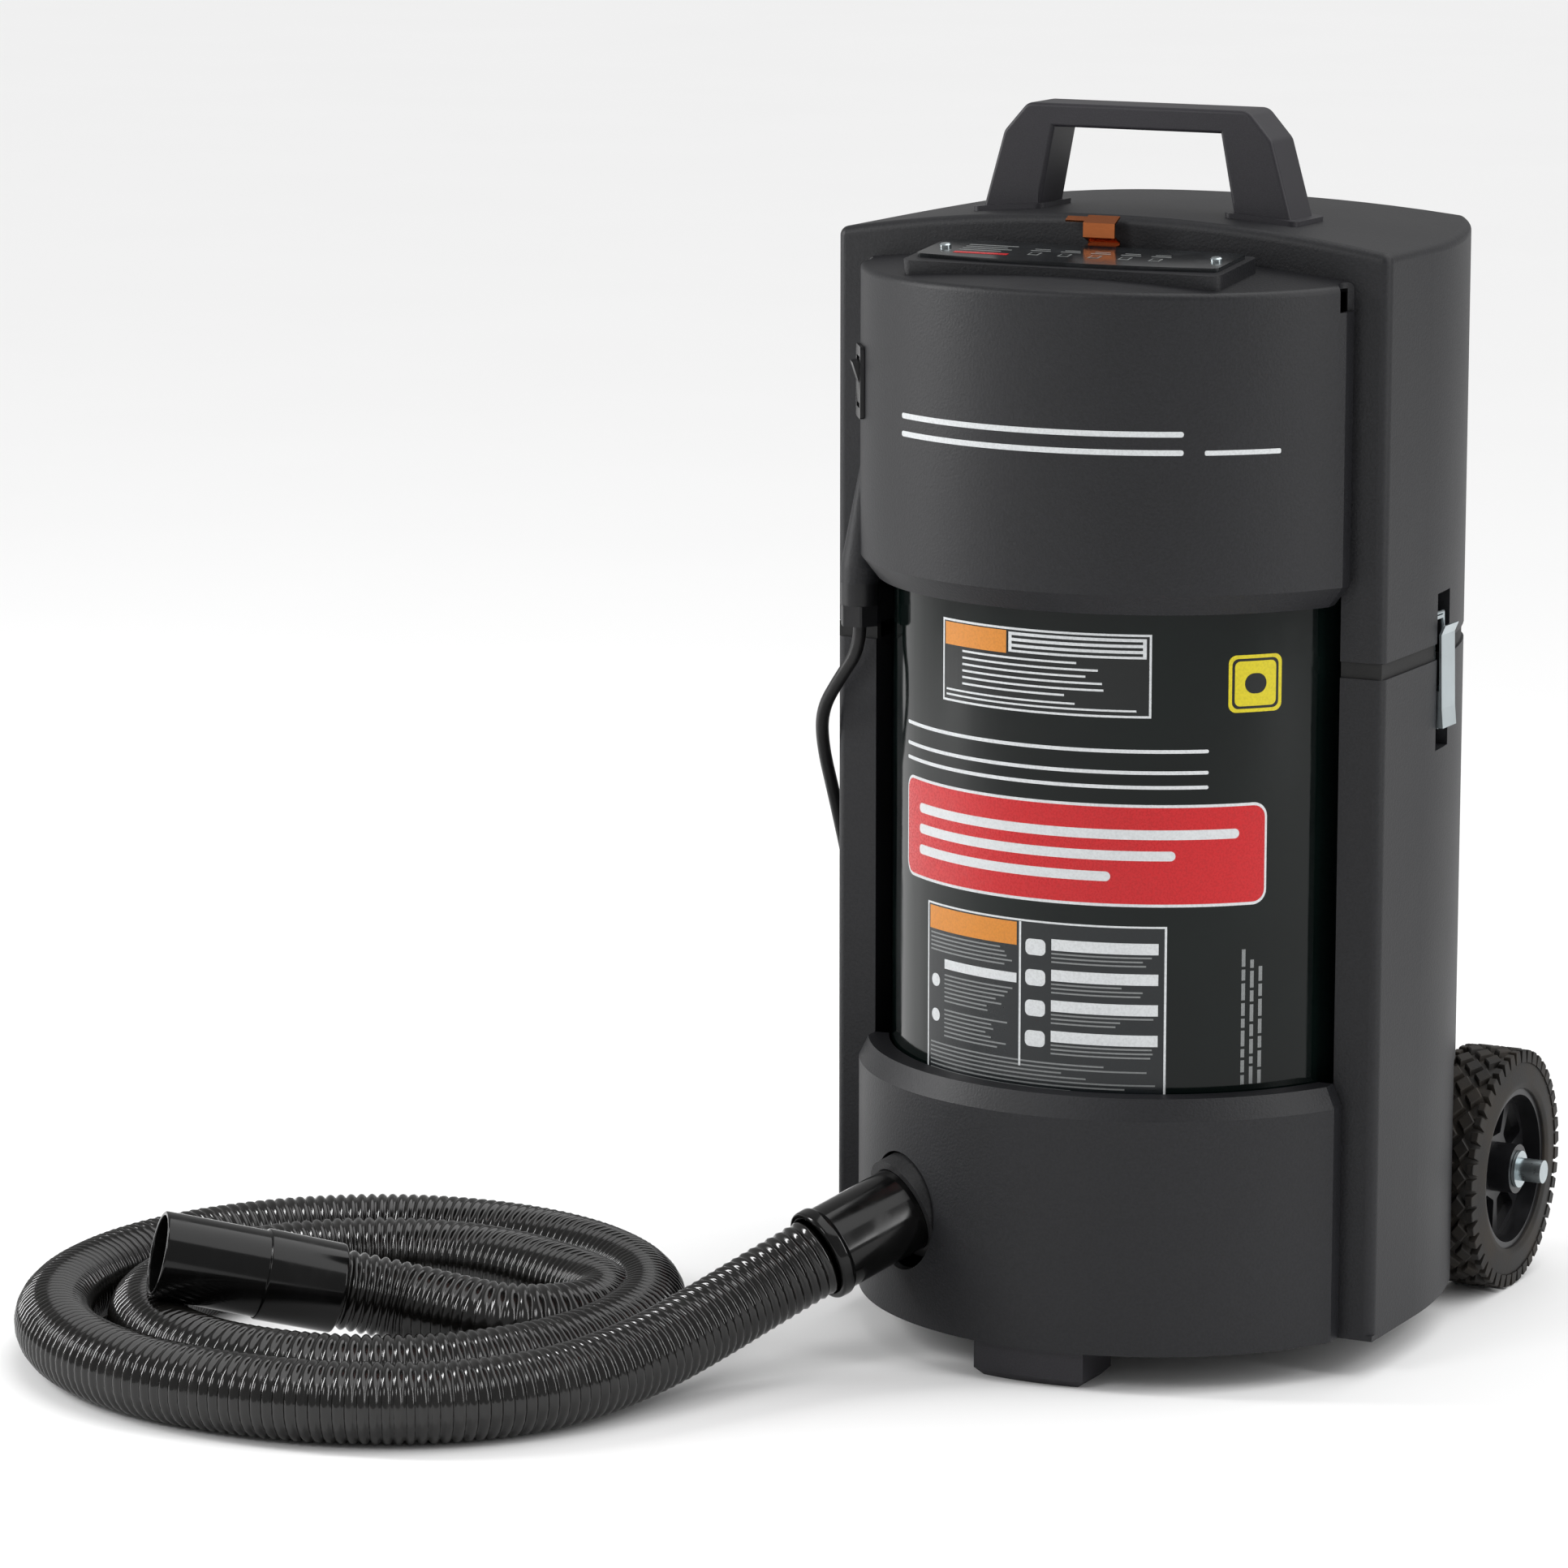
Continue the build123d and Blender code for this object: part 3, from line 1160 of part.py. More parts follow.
def main():
    """Build and save every node."""
    os.makedirs("parts", exist_ok=True)
    for name, build in NODES.items():
        save(name, build())
    save("filter_can", ring(DRUM_RADIUS, DRUM_RADIUS - DRUM_WALL, DRUM_BOTTOM, DRUM_TOP))
    core = DRUM_BOTTOM + RING_HEIGHT
    save("filter_core", ring(CORE_RADIUS, CORE_RADIUS - CORE_WALL, core, DRUM_TOP - RING_HEIGHT))
    seal = DRUM_RADIUS - DRUM_WALL - 0.5
    save("filter_gasket", ring(seal, seal - GASKET_WIDTH, DRUM_TOP, DRUM_TOP + GASKET_HEIGHT))
    for name, build in MIRRORED.items():
        right = build()
        save(f"{name}_right", right)
        save(f"{name}_left", mirror(right, Plane.YZ))
    for name, build in BLOWERS.items():
        save(f"{name}_left", build(-1))
        save(f"{name}_right", build(1))
    cuff_end = tuple(inlet_point(CUFF_REACH))
    save("hose_run", tube("hose_run", [cuff_end] + HOSE_RUN_POINTS, HOSE_DIAMETER, HOSE_BORE))
    save("hose_tail", tube("hose_tail", HOSE_TAIL_POINTS, HOSE_DIAMETER, HOSE_BORE))
    exit_point = (BOSS_X, BOSS_Y, GLAND_BOTTOM - CORD_EXIT_GAP)
    save("power_cord_run", tube("power_cord_run", [exit_point] + CORD_POINTS, CORD_DIAMETER))
    save("power_cord_end", tube("power_cord_end", CORD_END_POINTS, CORD_DIAMETER))
    print("origin shift", ORIGIN_Y)


main()
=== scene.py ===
import math
import random

import bmesh
import bpy
from mathutils import Matrix, Vector


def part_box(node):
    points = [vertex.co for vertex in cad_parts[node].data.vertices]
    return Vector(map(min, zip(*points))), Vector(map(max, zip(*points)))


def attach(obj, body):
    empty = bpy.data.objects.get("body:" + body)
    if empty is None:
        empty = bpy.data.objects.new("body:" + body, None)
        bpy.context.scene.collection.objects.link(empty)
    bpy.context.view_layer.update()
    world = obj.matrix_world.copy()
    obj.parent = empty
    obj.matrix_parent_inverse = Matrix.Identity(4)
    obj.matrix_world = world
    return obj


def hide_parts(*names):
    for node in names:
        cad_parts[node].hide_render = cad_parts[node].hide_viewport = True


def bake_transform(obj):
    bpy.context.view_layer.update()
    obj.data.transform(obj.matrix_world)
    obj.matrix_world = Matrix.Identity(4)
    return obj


bl_info = {
    "name": "Portable Extractor",
    "version": (1, 0, 0),
    "blender": (4, 5, 0),
    "location": "3D View > Sidebar > Extractor",
    "description": "Finishes, hose, cord, tyres and prints of a wheeled fume extractor",
    "category": "Object",
}

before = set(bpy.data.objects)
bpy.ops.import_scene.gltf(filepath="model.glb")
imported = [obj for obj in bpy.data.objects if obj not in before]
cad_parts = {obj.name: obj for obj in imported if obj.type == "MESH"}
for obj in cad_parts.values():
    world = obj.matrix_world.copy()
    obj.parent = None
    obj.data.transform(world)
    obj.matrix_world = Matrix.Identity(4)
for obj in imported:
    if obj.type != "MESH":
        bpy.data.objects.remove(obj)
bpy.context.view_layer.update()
MM = 0.001
FRONT_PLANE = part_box("lower_front_cap")[1].y


# Points of the frame


def front(x, y, z):
    """A point in millimetres, with y measured from the shells' front plane, in the frame."""
    return Vector((x * MM, FRONT_PLANE + y * MM, z * MM))


def drum_centre():
    """The axis of the filter drum, which the front caps share."""
    low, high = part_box("filter_can")
    return (low.x + high.x) / 2, (low.y + high.y) / 2


DRUM_RADIUS = (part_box("filter_can")[1].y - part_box("filter_can")[0].y) / 2
CAP_RADIUS = drum_centre()[1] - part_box("upper_front_cap")[0].y


# The hose leaves the inlet, runs out to the floor, winds inwards and comes up into its nozzle

INLET_ANGLE = math.radians(32.5)
INLET_DROOP = math.radians(20)
INLET_HEIGHT = 93 * MM
CUFF_INSERT = 18 * MM
CUFF_REACH = 62 * MM
COIL_CENTRE = (-396, -222)
COIL_STEPS = 25
COIL_STOPS = [(-83, 204), (-240, 200), (-360, 166), (-450, 148), (-653, 132)]
HOSE_FLOOR = 25.1
HOSE_RUN_POINTS = [
    (-150, -160, 57),
    (-168, -207, 42),
    (-183, -262, 31),
    (-204, -325, 25.5),
    (-245, -380, 25.2),
    (-305, -413, 25.1),
    (-370, -424, 25.1),
]
HOSE_TAIL_POINTS = [
    (-345, -100, 25.1),
    (-292, -124, 25.2),
    (-262, -160, 26),
    (-264, -203, 28.5),
    (-292, -235, 32),
    (-333, -240, 36),
    (-370.8, -245.7, 41.6),
    (-396, -267, 50),
]
NOZZLE_START = (-396, -267, 50)
NOZZLE_END = (-480, -338, 78)

# The power cord hangs from the gland, follows the floor round the wheel and is stored behind

CORD_EXIT = (-161, -15, 446.7)
CORD_POINTS = [
    (-161, -15, 432),
    (-175, -15, 412),
    (-191, -8, 390),
    (-199, 8, 364),
    (-201, 30, 325),
    (-200, 54, 265),
    (-202, 74, 190),
    (-203, 88, 110),
    (-206, 106, 45),
    (-208, 140, 10),
    (-211, 190, 4.3),
    (-212, 250, 4.4),
    (-205, 310, 4.3),
    (-178, 356, 4.4),
    (-130, 388, 5.7),
    (-75, 393.4, 5.7),
]
CORD_END_POINTS = [
    (-40, 372, 18),
    (-12, 362, 14),
    (6, 338, 13.5),
    (12, 308, 14.2),
]
CORD_COIL_CENTRE = (-70, 335)
CORD_COIL_MIDDLE = 50
CORD_COIL_ANGLE = 95
CORD_COIL_TURNS = 6.12
CORD_TURN_STEPS = 14
CORD_CROSSING = 0.2
# A point on the cord's drop, below the gland
CORD_STILL = (-200, 54, 200)

# The plug, in millimetres
PLUG_LEAN = (2, -10, 0)
BLADE_OFFSET = 6.35
PIN_OFFSET = 9

# Prints: left and right in degrees from the front, low and high in millimetres
UPPER_PANEL = (-27.5, 24.5, 415.5, 466.5)
BAND = (-43.5, 50.5, 299.5, 362.5)
LOWER_PANEL = (-33.0, 28.4, 176, 287.5)
STICKER = (41.2, 53.6, 418, 453)
TITLE_LEFT = -32.5
TITLE_RIGHT = 30.0
TITLE_HEIGHTS = (588.5, 577.5)
TITLE_THICK = 3.4

# Stage
CAMERA_PLACE = (1.6497, -3.6971, 1.0932)
SENSOR_WIDTH = 36
SUN_PLACE = (0.5, 0.45, 1.4)
SUN_SPREAD = math.radians(70)
FLOOR_HALF = 40
# Each lamp's place, target, size and power
LAMPS = {
    "left_strip": ((-2.4, -1.0, 1.3), (0, 0, 0.4), (0.35, 1.8), 46),
    "front_box": ((-1.2, -3.4, 2.6), (0, -0.1, 0.45), (1.2, 1.0), 30),
    "right_box": ((2.6, -0.3, 1.4), (0.1, 0, 0.4), (0.5, 2.0), 26),
}


# Sizes and colours that a user may change


class HoseSettings(bpy.types.PropertyGroup):
    """Sizes of the suction hose."""

    diameter: bpy.props.FloatProperty(
        name="Diameter", description="Outside of the ribs", default=0.05, unit="LENGTH")
    pitch: bpy.props.FloatProperty(
        name="Rib pitch", description="From one rib to the next", default=0.0066, unit="LENGTH")
    depth: bpy.props.FloatProperty(
        name="Rib depth", description="How far a rib stands out of its groove", default=0.0026, unit="LENGTH")
    length: bpy.props.FloatProperty(
        name="Length", description="Length from cuff to nozzle", default=2.36, unit="LENGTH")


class CordSettings(bpy.types.PropertyGroup):
    """Sizes of the power cord."""

    diameter: bpy.props.FloatProperty(
        name="Diameter", description="Outside of the sheath", default=0.0084, unit="LENGTH")
    length: bpy.props.FloatProperty(
        name="Length", description="Length from gland to plug", default=2.8, unit="LENGTH")


class TyreSettings(bpy.types.PropertyGroup):
    """Sizes of the tread."""

    rows: bpy.props.IntProperty(name="Rows", description="Rows of lugs across the tread", default=3)
    count: bpy.props.IntProperty(name="Lugs", description="Lugs round one row", default=26)
    height: bpy.props.FloatProperty(
        name="Lug height", description="How far a lug stands out", default=0.0036, unit="LENGTH")
    shoulder_count: bpy.props.IntProperty(
        name="Shoulder blocks", description="Blocks round each edge of the tread", default=46)


class FinishSettings(bpy.types.PropertyGroup):
    """Colours of the mouldings and prints."""

    shell: bpy.props.FloatVectorProperty(
        name="Shells", description="Grained mouldings", subtype="COLOR",
        default=(0.0088, 0.0090, 0.0108))
    drum: bpy.props.FloatVectorProperty(
        name="Drum", description="Gloss wrap of the filter", subtype="COLOR",
        default=(0.0016, 0.0034, 0.0030))
    band: bpy.props.FloatVectorProperty(
        name="Band", description="Plain band round the drum", subtype="COLOR", default=(0.50, 0.008, 0.012))
    header: bpy.props.FloatVectorProperty(
        name="Header", description="Heads of the printed panels", subtype="COLOR",
        default=(0.60, 0.22, 0.025))
    sticker: bpy.props.FloatVectorProperty(
        name="Sticker", description="Small sticker on the drum", subtype="COLOR",
        default=(0.62, 0.52, 0.012))


class StageSettings(bpy.types.PropertyGroup):
    """Camera and light."""

    azimuth: bpy.props.FloatProperty(
        name="Azimuth", description="Turn of the view", subtype="ANGLE", default=math.radians(27.548))
    pitch: bpy.props.FloatProperty(
        name="Pitch", description="How far the view looks down", subtype="ANGLE",
        default=math.radians(10.571))
    lens: bpy.props.FloatProperty(name="Lens", description="Focal length in millimetres", default=149.07)
    sky: bpy.props.FloatProperty(name="Sky", description="Strength of the white surroundings", default=0.42)
    sun: bpy.props.FloatProperty(
        name="Sun", description="Strength of the broad overhead light", default=2.0)


# Nodes and formulas


class Number:
    """A socket that stands in a formula, which adds its Math nodes to the graph."""

    def __init__(self, graph, socket):
        self.graph = graph
        self.socket = socket

    def math(self, operation, *values):
        return self.graph.number("ShaderNodeMath", {"operation": operation}, dict(enumerate(values)))

    def __add__(self, other):
        return self.math("ADD", self, other)

    def __radd__(self, other):
        return self.math("ADD", other, self)

    def __sub__(self, other):
        return self.math("SUBTRACT", self, other)

    def __rsub__(self, other):
        return self.math("SUBTRACT", other, self)

    def __mul__(self, other):
        return self.math("MULTIPLY", self, other)

    def __rmul__(self, other):
        return self.math("MULTIPLY", other, self)

    def __truediv__(self, other):
        return self.math("DIVIDE", self, other)

    def __pow__(self, other):
        return self.math("POWER", self, other)

    def __mod__(self, other):
        return self.math("MODULO", self, other)

    def floor(self):
        return self.math("FLOOR", self)

    def sin(self):
        return self.math("SINE", self)

    def cos(self):
        return self.math("COSINE", self)

    def size(self):
        return self.math("ABSOLUTE", self)


class Graph:
    """The nodes of one material or one geometry tree."""

    def __init__(self, tree):
        self.tree = tree

    def add(self, kind, settings=None, sockets=None):
        """Adds a node, sets it up, then gives its sockets their values or links."""
        node = self.tree.nodes.new(kind)
        for key, value in (settings or {}).items():
            if key == "stops":
                for element, (place, colour) in zip(node.color_ramp.elements, value):
                    element.position = place
                    element.color = colour
            else:
                setattr(node, key, value)
        for key, value in (sockets or {}).items():
            if isinstance(value, Number):
                value = value.socket
            if isinstance(value, bpy.types.NodeSocket):
                self.tree.links.new(value, node.inputs[key])
            else:
                node.inputs[key].default_value = value
        return node

    def number(self, kind, settings=None, sockets=None, output=0):
        return Number(self, self.add(kind, settings, sockets).outputs[output])

    def noise(self, scale, detail=2.0, stretch=(1, 1, 1)):
        """Noise on the object's own coordinates."""
        place = self.add("ShaderNodeTexCoord").outputs["Object"]
        mapped = self.add("ShaderNodeMapping", None, {"Vector": place, "Scale": stretch}).outputs[0]
        return self.number("ShaderNodeTexNoise", None, {"Vector": mapped, "Scale": scale, "Detail": detail})

    def ramp(self, value, low, high):
        """0 below low, 1 above high and a straight line between them."""
        return self.number(
            "ShaderNodeMapRange", None, {"Value": value, "From Min": low, "From Max": high})

    def colour(self, factor, first, second):
        """A colour between two."""
        sockets = {0: factor, 6: (*first, 1), 7: (*second, 1)}
        return self.add("ShaderNodeMix", {"data_type": "RGBA"}, sockets).outputs[2]

    def bump(self, height, distance, strength=1.0):
        sockets = {"Height": height, "Distance": distance, "Strength": strength}
        return self.add("ShaderNodeBump", None, sockets).outputs[0]


def shaded(colour, factor):
    return tuple(channel * factor for channel in colour)


def finish(name, sockets=None, sheen=0.35):
    """A material with its shader, ready for what changes over the surface. Sheen is its specular level."""
    material = bpy.data.materials.new(name)
    material.use_nodes = True
    material.node_tree.nodes.clear()
    graph = Graph(material.node_tree)
    shader = graph.add("ShaderNodeBsdfPrincipled", None, {"Specular IOR Level": sheen, **(sockets or {})})
    graph.add("ShaderNodeOutputMaterial", None, {"Surface": shader.outputs[0]})
    return material, graph, shader


def join(graph, shader, **sockets):
    """Feeds the shader: a name's underlines are its socket's spaces."""
    for key, value in sockets.items():
        socket = shader.inputs[key.replace("_", " ")]
        graph.tree.links.new(value.socket if isinstance(value, Number) else value, socket)


CLOUD = 0.35


def moulded(name, colour, roughness, grain=620, depth=0.0004, strength=0.55):
    """Moulded plastic with a pebbled grain and faint cloudiness."""
    material, graph, shader = finish(name)
    pebbles = graph.noise(grain, 3)
    clouds = graph.noise(7, 4)
    rubbed = graph.ramp(graph.noise(3.5, 5), 0.42, 0.68)
    speck = graph.ramp(pebbles, 0.35, 0.65) * 0.55 + graph.ramp(clouds, 0.3, 0.7) * 0.45
    low = shaded(colour, 1 - CLOUD)
    high = shaded(colour, 1 + CLOUD)
    join(
        graph, shader,
        Base_Color=graph.colour(speck, low, high),
        Roughness=rubbed * 0.07 + (roughness - 0.03) + pebbles * 0.03,
        Normal=graph.bump(pebbles, depth, strength),
    )
    return material


def gloss(name, colour, roughness, wave=22, depth=0.0006, strength=0.3, sheen=0.3):
    """Smooth glossy plastic, a little uneven, with fine handling marks."""
    material, graph, shader = finish(name, sheen=sheen)
    waves = graph.noise(wave, 2)
    marks = graph.ramp(graph.noise(60, 6, (1, 1, 0.35)), 0.5, 0.75)
    join(
        graph, shader,
        Base_Color=graph.colour(marks, colour, shaded(colour, 1.9)),
        Roughness=marks * 0.10 + roughness,
        Normal=graph.bump(waves, depth, strength),
    )
    return material


def metal(name, colour, roughness, brushed=(1, 1, 1)):
    """Plated or brushed metal with small clouds in its polish."""
    material, graph, shader = finish(name, {"Metallic": 1.0})
    fine = graph.noise(500, 3, brushed)
    broad = graph.noise(45, 4)
    join(
        graph, shader,
        Base_Color=graph.colour(graph.ramp(broad, 0.3, 0.7), shaded(colour, 0.88), colour),
        Roughness=fine * 0.12 + broad * 0.14 + (roughness - 0.13),
        Normal=graph.bump(fine, 0.00005, 0.35),
    )
    return material


def printed(name, colour, roughness=0.32):
    """Printing ink on a smooth film, with slight unevenness in its cover."""
    material, graph, shader = finish(name)
    cover = graph.ramp(graph.noise(700, 3), 0.25, 0.6)
    film = graph.noise(25, 2)
    join(
        graph, shader,
        Base_Color=graph.colour(cover, shaded(colour, 0.82), colour),
        Roughness=cover * 0.08 + roughness,
        Normal=graph.bump(film, 0.0004, 0.25),
    )
    return material


def drum_wrap(name, colour):
    """Gloss film wrapped round the filter, with soft dents and vertical tension lines."""
    material, graph, shader = finish(name, sheen=0.22)
    dents = graph.noise(16, 2, (1, 1, 0.7))
    crumple = graph.noise(70, 3, (1, 1, 0.6))
    tension = graph.noise(9, 2, (6, 6, 0.5))
    height = dents * 0.6 + crumple * graph.ramp(graph.noise(6, 2), 0.45, 0.7) * 0.25 + tension * 0.25
    smear = graph.ramp(graph.noise(14, 5), 0.45, 0.75)
    join(
        graph, shader,
        Base_Color=graph.colour(smear, colour, shaded(colour, 1.7)),
        Roughness=smear * 0.08 + 0.07,
        Normal=graph.bump(height, 0.0016, 0.32),
    )
    return material


def rubber(name, colour, dust, roughness, amount=0.5):
    """Rubber with dust in its hollows."""
    material, graph, shader = finish(name)
    fine = graph.noise(650, 4)
    patches = graph.ramp(graph.noise(38, 5), 0.38, 0.72) * amount
    join(
        graph, shader,
        Base_Color=graph.colour(patches, colour, dust),
        Roughness=patches * 0.15 + roughness,
        Normal=graph.bump(fine, 0.00022, 0.45),
    )
    return material


def woven(name, colour, pitch):
    """Woven strap, with its threads at a regular pitch."""
    material, graph, shader = finish(name, {"Roughness": 0.85})
    place = graph.add("ShaderNodeTexCoord").outputs["Object"]
    parts = graph.add("ShaderNodeSeparateXYZ", None, {0: place})
    turn = 2 * math.pi / pitch
    warp = (Number(graph, parts.outputs["Y"]) * turn).sin()
    weft = (Number(graph, parts.outputs["Z"]) * turn).sin()
    threads = warp * weft * 0.5 + 0.5
    join(
        graph, shader,
        Base_Color=graph.colour(threads, shaded(colour, 0.6), colour),
        Normal=graph.bump(threads, 0.0003, 0.7),
    )
    return material


# Meshes


def rounded(corners, steps=4):
    """An outline whose corners, (x, y, radius), are rounded off."""
    outline = []
    count = len(corners)
    for index, (x, y, radius) in enumerate(corners):
        here = Vector((x, y))
        before = Vector(corners[index - 1][:2]) - here
        after = Vector(corners[(index + 1) % count][:2]) - here
        if radius == 0:
            outline.append(here)
            continue
        start = here + before.normalized() * min(radius, before.length / 2)
        end = here + after.normalized() * min(radius, after.length / 2)
        for step in range(steps + 1):
            t = step / steps
            outline.append(start * (1 - t) ** 2 + here * 2 * t * (1 - t) + end * t * t)
    return outline


def along(start, end):
    """A frame at start whose z runs towards end and whose x stays level."""
    forward = (end - start).normalized()
    level = Vector((0, 0, 1)).cross(forward).normalized()
    turn = Matrix((level, forward.cross(level), forward)).transposed()
    return Matrix.Translation(start) @ turn.to_4x4()


def mesh_of(name, vertices, faces, place=None, smooth=True):
    """A mesh with its faces pointing outwards, in its place."""
    mesh = bpy.data.meshes.new(name)
    mesh.from_pydata([tuple(v) for v in vertices], [], faces)
    form = bmesh.new()
    form.from_mesh(mesh)
    bmesh.ops.remove_doubles(form, verts=form.verts, dist=1e-7)
    bmesh.ops.recalc_face_normals(form, faces=form.faces)
    if place is not None:
        form.transform(place)
    form.to_mesh(mesh)
    form.free()
    if smooth:
        mesh.shade_smooth()
    return mesh


def turned(name, outline, place, steps=64):
    """A closed outline of (distance, radius) turned round the z axis of a frame."""
    vertices = []
    for step in range(steps):
        angle = 2 * math.pi * step / steps
        for distance, radius in outline:
            vertices.append((radius * math.cos(angle), radius * math.sin(angle), distance))
    faces = []
    count = len(outline)
    for step in range(steps):
        ring, following = step * count, (step + 1) % steps * count
        for i in range(count):
            j = (i + 1) % count
            faces.append((ring + i, ring + j, following + j, following + i))
    return mesh_of(name, vertices, faces, place)


def lofted(name, sections, place=None, smooth=False):
    """Closed sections joined one to the next, with both ends filled."""
    count = len(sections[0])
    vertices = [point for section in sections for point in section]
    faces = [tuple(range(count)), tuple(range(len(vertices) - count, len(vertices)))]
    for index in range(len(sections) - 1):
        ring, following = index * count, (index + 1) * count
        for i in range(count):
            j = (i + 1) % count
            faces.append((ring + i, ring + j, following + j, following + i))
    return mesh_of(name, vertices, faces, place, smooth)


def merged(name, meshes):
    """One mesh from several, each with its own material."""
    form = bmesh.new()
    whole = bpy.data.meshes.new(name)
    for mesh in meshes:
        material = mesh.materials[0] if mesh.materials else None
        if material is not None and material.name not in whole.materials:
            whole.materials.append(material)
        count = len(form.faces)
        form.from_mesh(mesh)
        form.faces.ensure_lookup_table()
        for face in form.faces[count:]:
            face.material_index = whole.materials.find(material.name) if material else 0
        bpy.data.meshes.remove(mesh)
    form.to_mesh(whole)
    form.free()
    return whole


def painted(mesh, material):
    mesh.materials.append(material)
    return mesh


def piece(name, mesh, body, nodes=()):
    """A finished object that moves with a body, and stands for CAD nodes where it has any."""
    made = bpy.data.objects.new(name, mesh)
    bpy.context.scene.collection.objects.link(made)
    if body is not None:
        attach(made, body)
    if nodes:
        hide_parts(*nodes)
    return made


def plain_mesh(made, name):
    """The evaluated mesh of an object, which is then removed."""
    evaluated = made.evaluated_get(bpy.context.evaluated_depsgraph_get())
    mesh = bpy.data.meshes.new_from_object(evaluated)
    mesh.name = name
    bpy.data.objects.remove(made)
    return mesh


# Geometry trees


def new_tree(name, numbers):
    """A geometry tree with a geometry, a material and named numbers as inputs."""
    tree = bpy.data.node_groups.new(name, "GeometryNodeTree")
    tree.interface.new_socket("Geometry", in_out="INPUT", socket_type="NodeSocketGeometry")
    tree.interface.new_socket("Material", in_out="INPUT", socket_type="NodeSocketMaterial")
    for label, kind in numbers:
        tree.interface.new_socket(label, in_out="INPUT", socket_type=kind)
    tree.interface.new_socket("Geometry", in_out="OUTPUT", socket_type="NodeSocketGeometry")
    graph = Graph(tree)
    inputs = graph.add("NodeGroupInput").outputs
    return tree, graph, inputs


def end_tree(graph, shape, inputs):
    """Realizes what the tree made and gives it its material."""
    real = graph.add("GeometryNodeRealizeInstances", None, {0: shape}).outputs[0]
    made = graph.add("GeometryNodeSetMaterial", None, {"Geometry": real, "Material": inputs["Material"]})
    graph.add("NodeGroupOutput", None, {0: made.outputs[0]})


def with_tree(made, tree, values):
    """Adds a tree to an object and sets its inputs."""
    modifier = made.modifiers.new(tree.name, "NODES")
    modifier.node_group = tree
    for item in tree.interface.items_tree:
        if item.in_out == "INPUT" and item.name in values:
            modifier[item.identifier] = values[item.name]
    return made


RIB_RINGS = 6
HOSE_SIDES = 22


def ribbed_tree():
    """A corrugated skin along a curve: rounded ribs with sharp grooves between them."""
    tree, graph, inputs = new_tree(
        "Ribbed hose",
        [("Radius", "NodeSocketFloat"), ("Rib pitch", "NodeSocketFloat"), ("Rib depth", "NodeSocketFloat")])
    step = Number(graph, inputs["Rib pitch"]) / RIB_RINGS
    line = graph.add(
        "GeometryNodeResampleCurve", {"mode": "LENGTH"}, {"Curve": inputs["Geometry"], "Length": step})
    index = graph.number("GeometryNodeInputIndex")
    wave = (index * (math.pi / RIB_RINGS)).sin().size() ** 0.8
    depth = Number(graph, inputs["Rib depth"])
    radius = Number(graph, inputs["Radius"]) - depth + depth * wave
    circle = graph.add(
        "GeometryNodeCurvePrimitiveCircle", None, {"Resolution": HOSE_SIDES, "Radius": 1.0})
    shape = sweep(graph, line.outputs[0], circle.outputs[0], radius)
    smooth = graph.add("GeometryNodeSetShadeSmooth", None, {"Geometry": shape}).outputs[0]
    end_tree(graph, smooth, inputs)
    return tree


def sweep(graph, line, section, radius):
    """Sweeps a unit section along a line, scaled by a radius."""
    sockets = {"Curve": line, "Profile Curve": section, "Scale": radius, "Fill Caps": True}
    return graph.add("GeometryNodeCurveToMesh", None, sockets).outputs[0]


def round_tree():
    """Copies of a block in rows round the x axis, each row shifted by half a step."""
    tree, graph, inputs = new_tree(
        "Blocks round a tyre",
        [("Rows", "NodeSocketInt"), ("Count", "NodeSocketInt"),
         ("Radius", "NodeSocketFloat"), ("Row pitch", "NodeSocketFloat")])
    rows = Number(graph, inputs["Rows"])
    count = Number(graph, inputs["Count"])
    points = graph.add("GeometryNodeMeshLine", None, {"Count": rows * count}).outputs[0]
    index = graph.number("GeometryNodeInputIndex")
    row = (index / count).floor()
    angle = (index + row % 2 * 0.5) / count * (2 * math.pi)
    radius = Number(graph, inputs["Radius"])
    across = (row - (rows - 1) / 2) * Number(graph, inputs["Row pitch"])
    spot = graph.add(
        "ShaderNodeCombineXYZ", None, {0: across, 1: radius * angle.sin() * -1, 2: radius * angle.cos()})
    placed = graph.add(
        "GeometryNodeSetPosition", None, {"Geometry": points, "Position": spot.outputs[0]}).outputs[0]
    turn = graph.add("ShaderNodeCombineXYZ", None, {0: angle}).outputs[0]
    rotation = graph.add("FunctionNodeEulerToRotation", None, {0: turn}).outputs[0]
    copies = graph.add(
        "GeometryNodeInstanceOnPoints", None,
        {"Points": placed, "Instance": inputs["Geometry"], "Rotation": rotation}).outputs[0]
    end_tree(graph, copies, inputs)
    return tree


# Cords


def spline_of(name, points):
    """A smooth open line with the route's points as its control points."""
    data = bpy.data.curves.new(name, "CURVE")
    data.dimensions = "3D"
    data.use_fill_caps = True
    line = data.splines.new("NURBS")
    line.points.add(len(points) - 1)
    for control, point in zip(line.points, points):
        control.co = (*point, 1)
    line.order_u = 3
    line.use_endpoint_u = True
    line.resolution_u = 16
    made = bpy.data.objects.new(name, data)
    bpy.context.scene.collection.objects.link(made)
    return made


def line_of(made):
    """The points that a spline passes through."""
    evaluated = made.evaluated_get(bpy.context.evaluated_depsgraph_get())
    mesh = bpy.data.meshes.new_from_object(evaluated)
    points = [v.co.copy() for v in mesh.vertices]
    bpy.data.meshes.remove(mesh)
    return points


def between(stops, value):
    """A value read off straight lines between stops."""
    for (a, first), (b, second) in zip(stops, stops[1:]):
        if min(a, b) <= value <= max(a, b):
            return first + (second - first) * (value - a) / (b - a)
    return stops[-1][1]


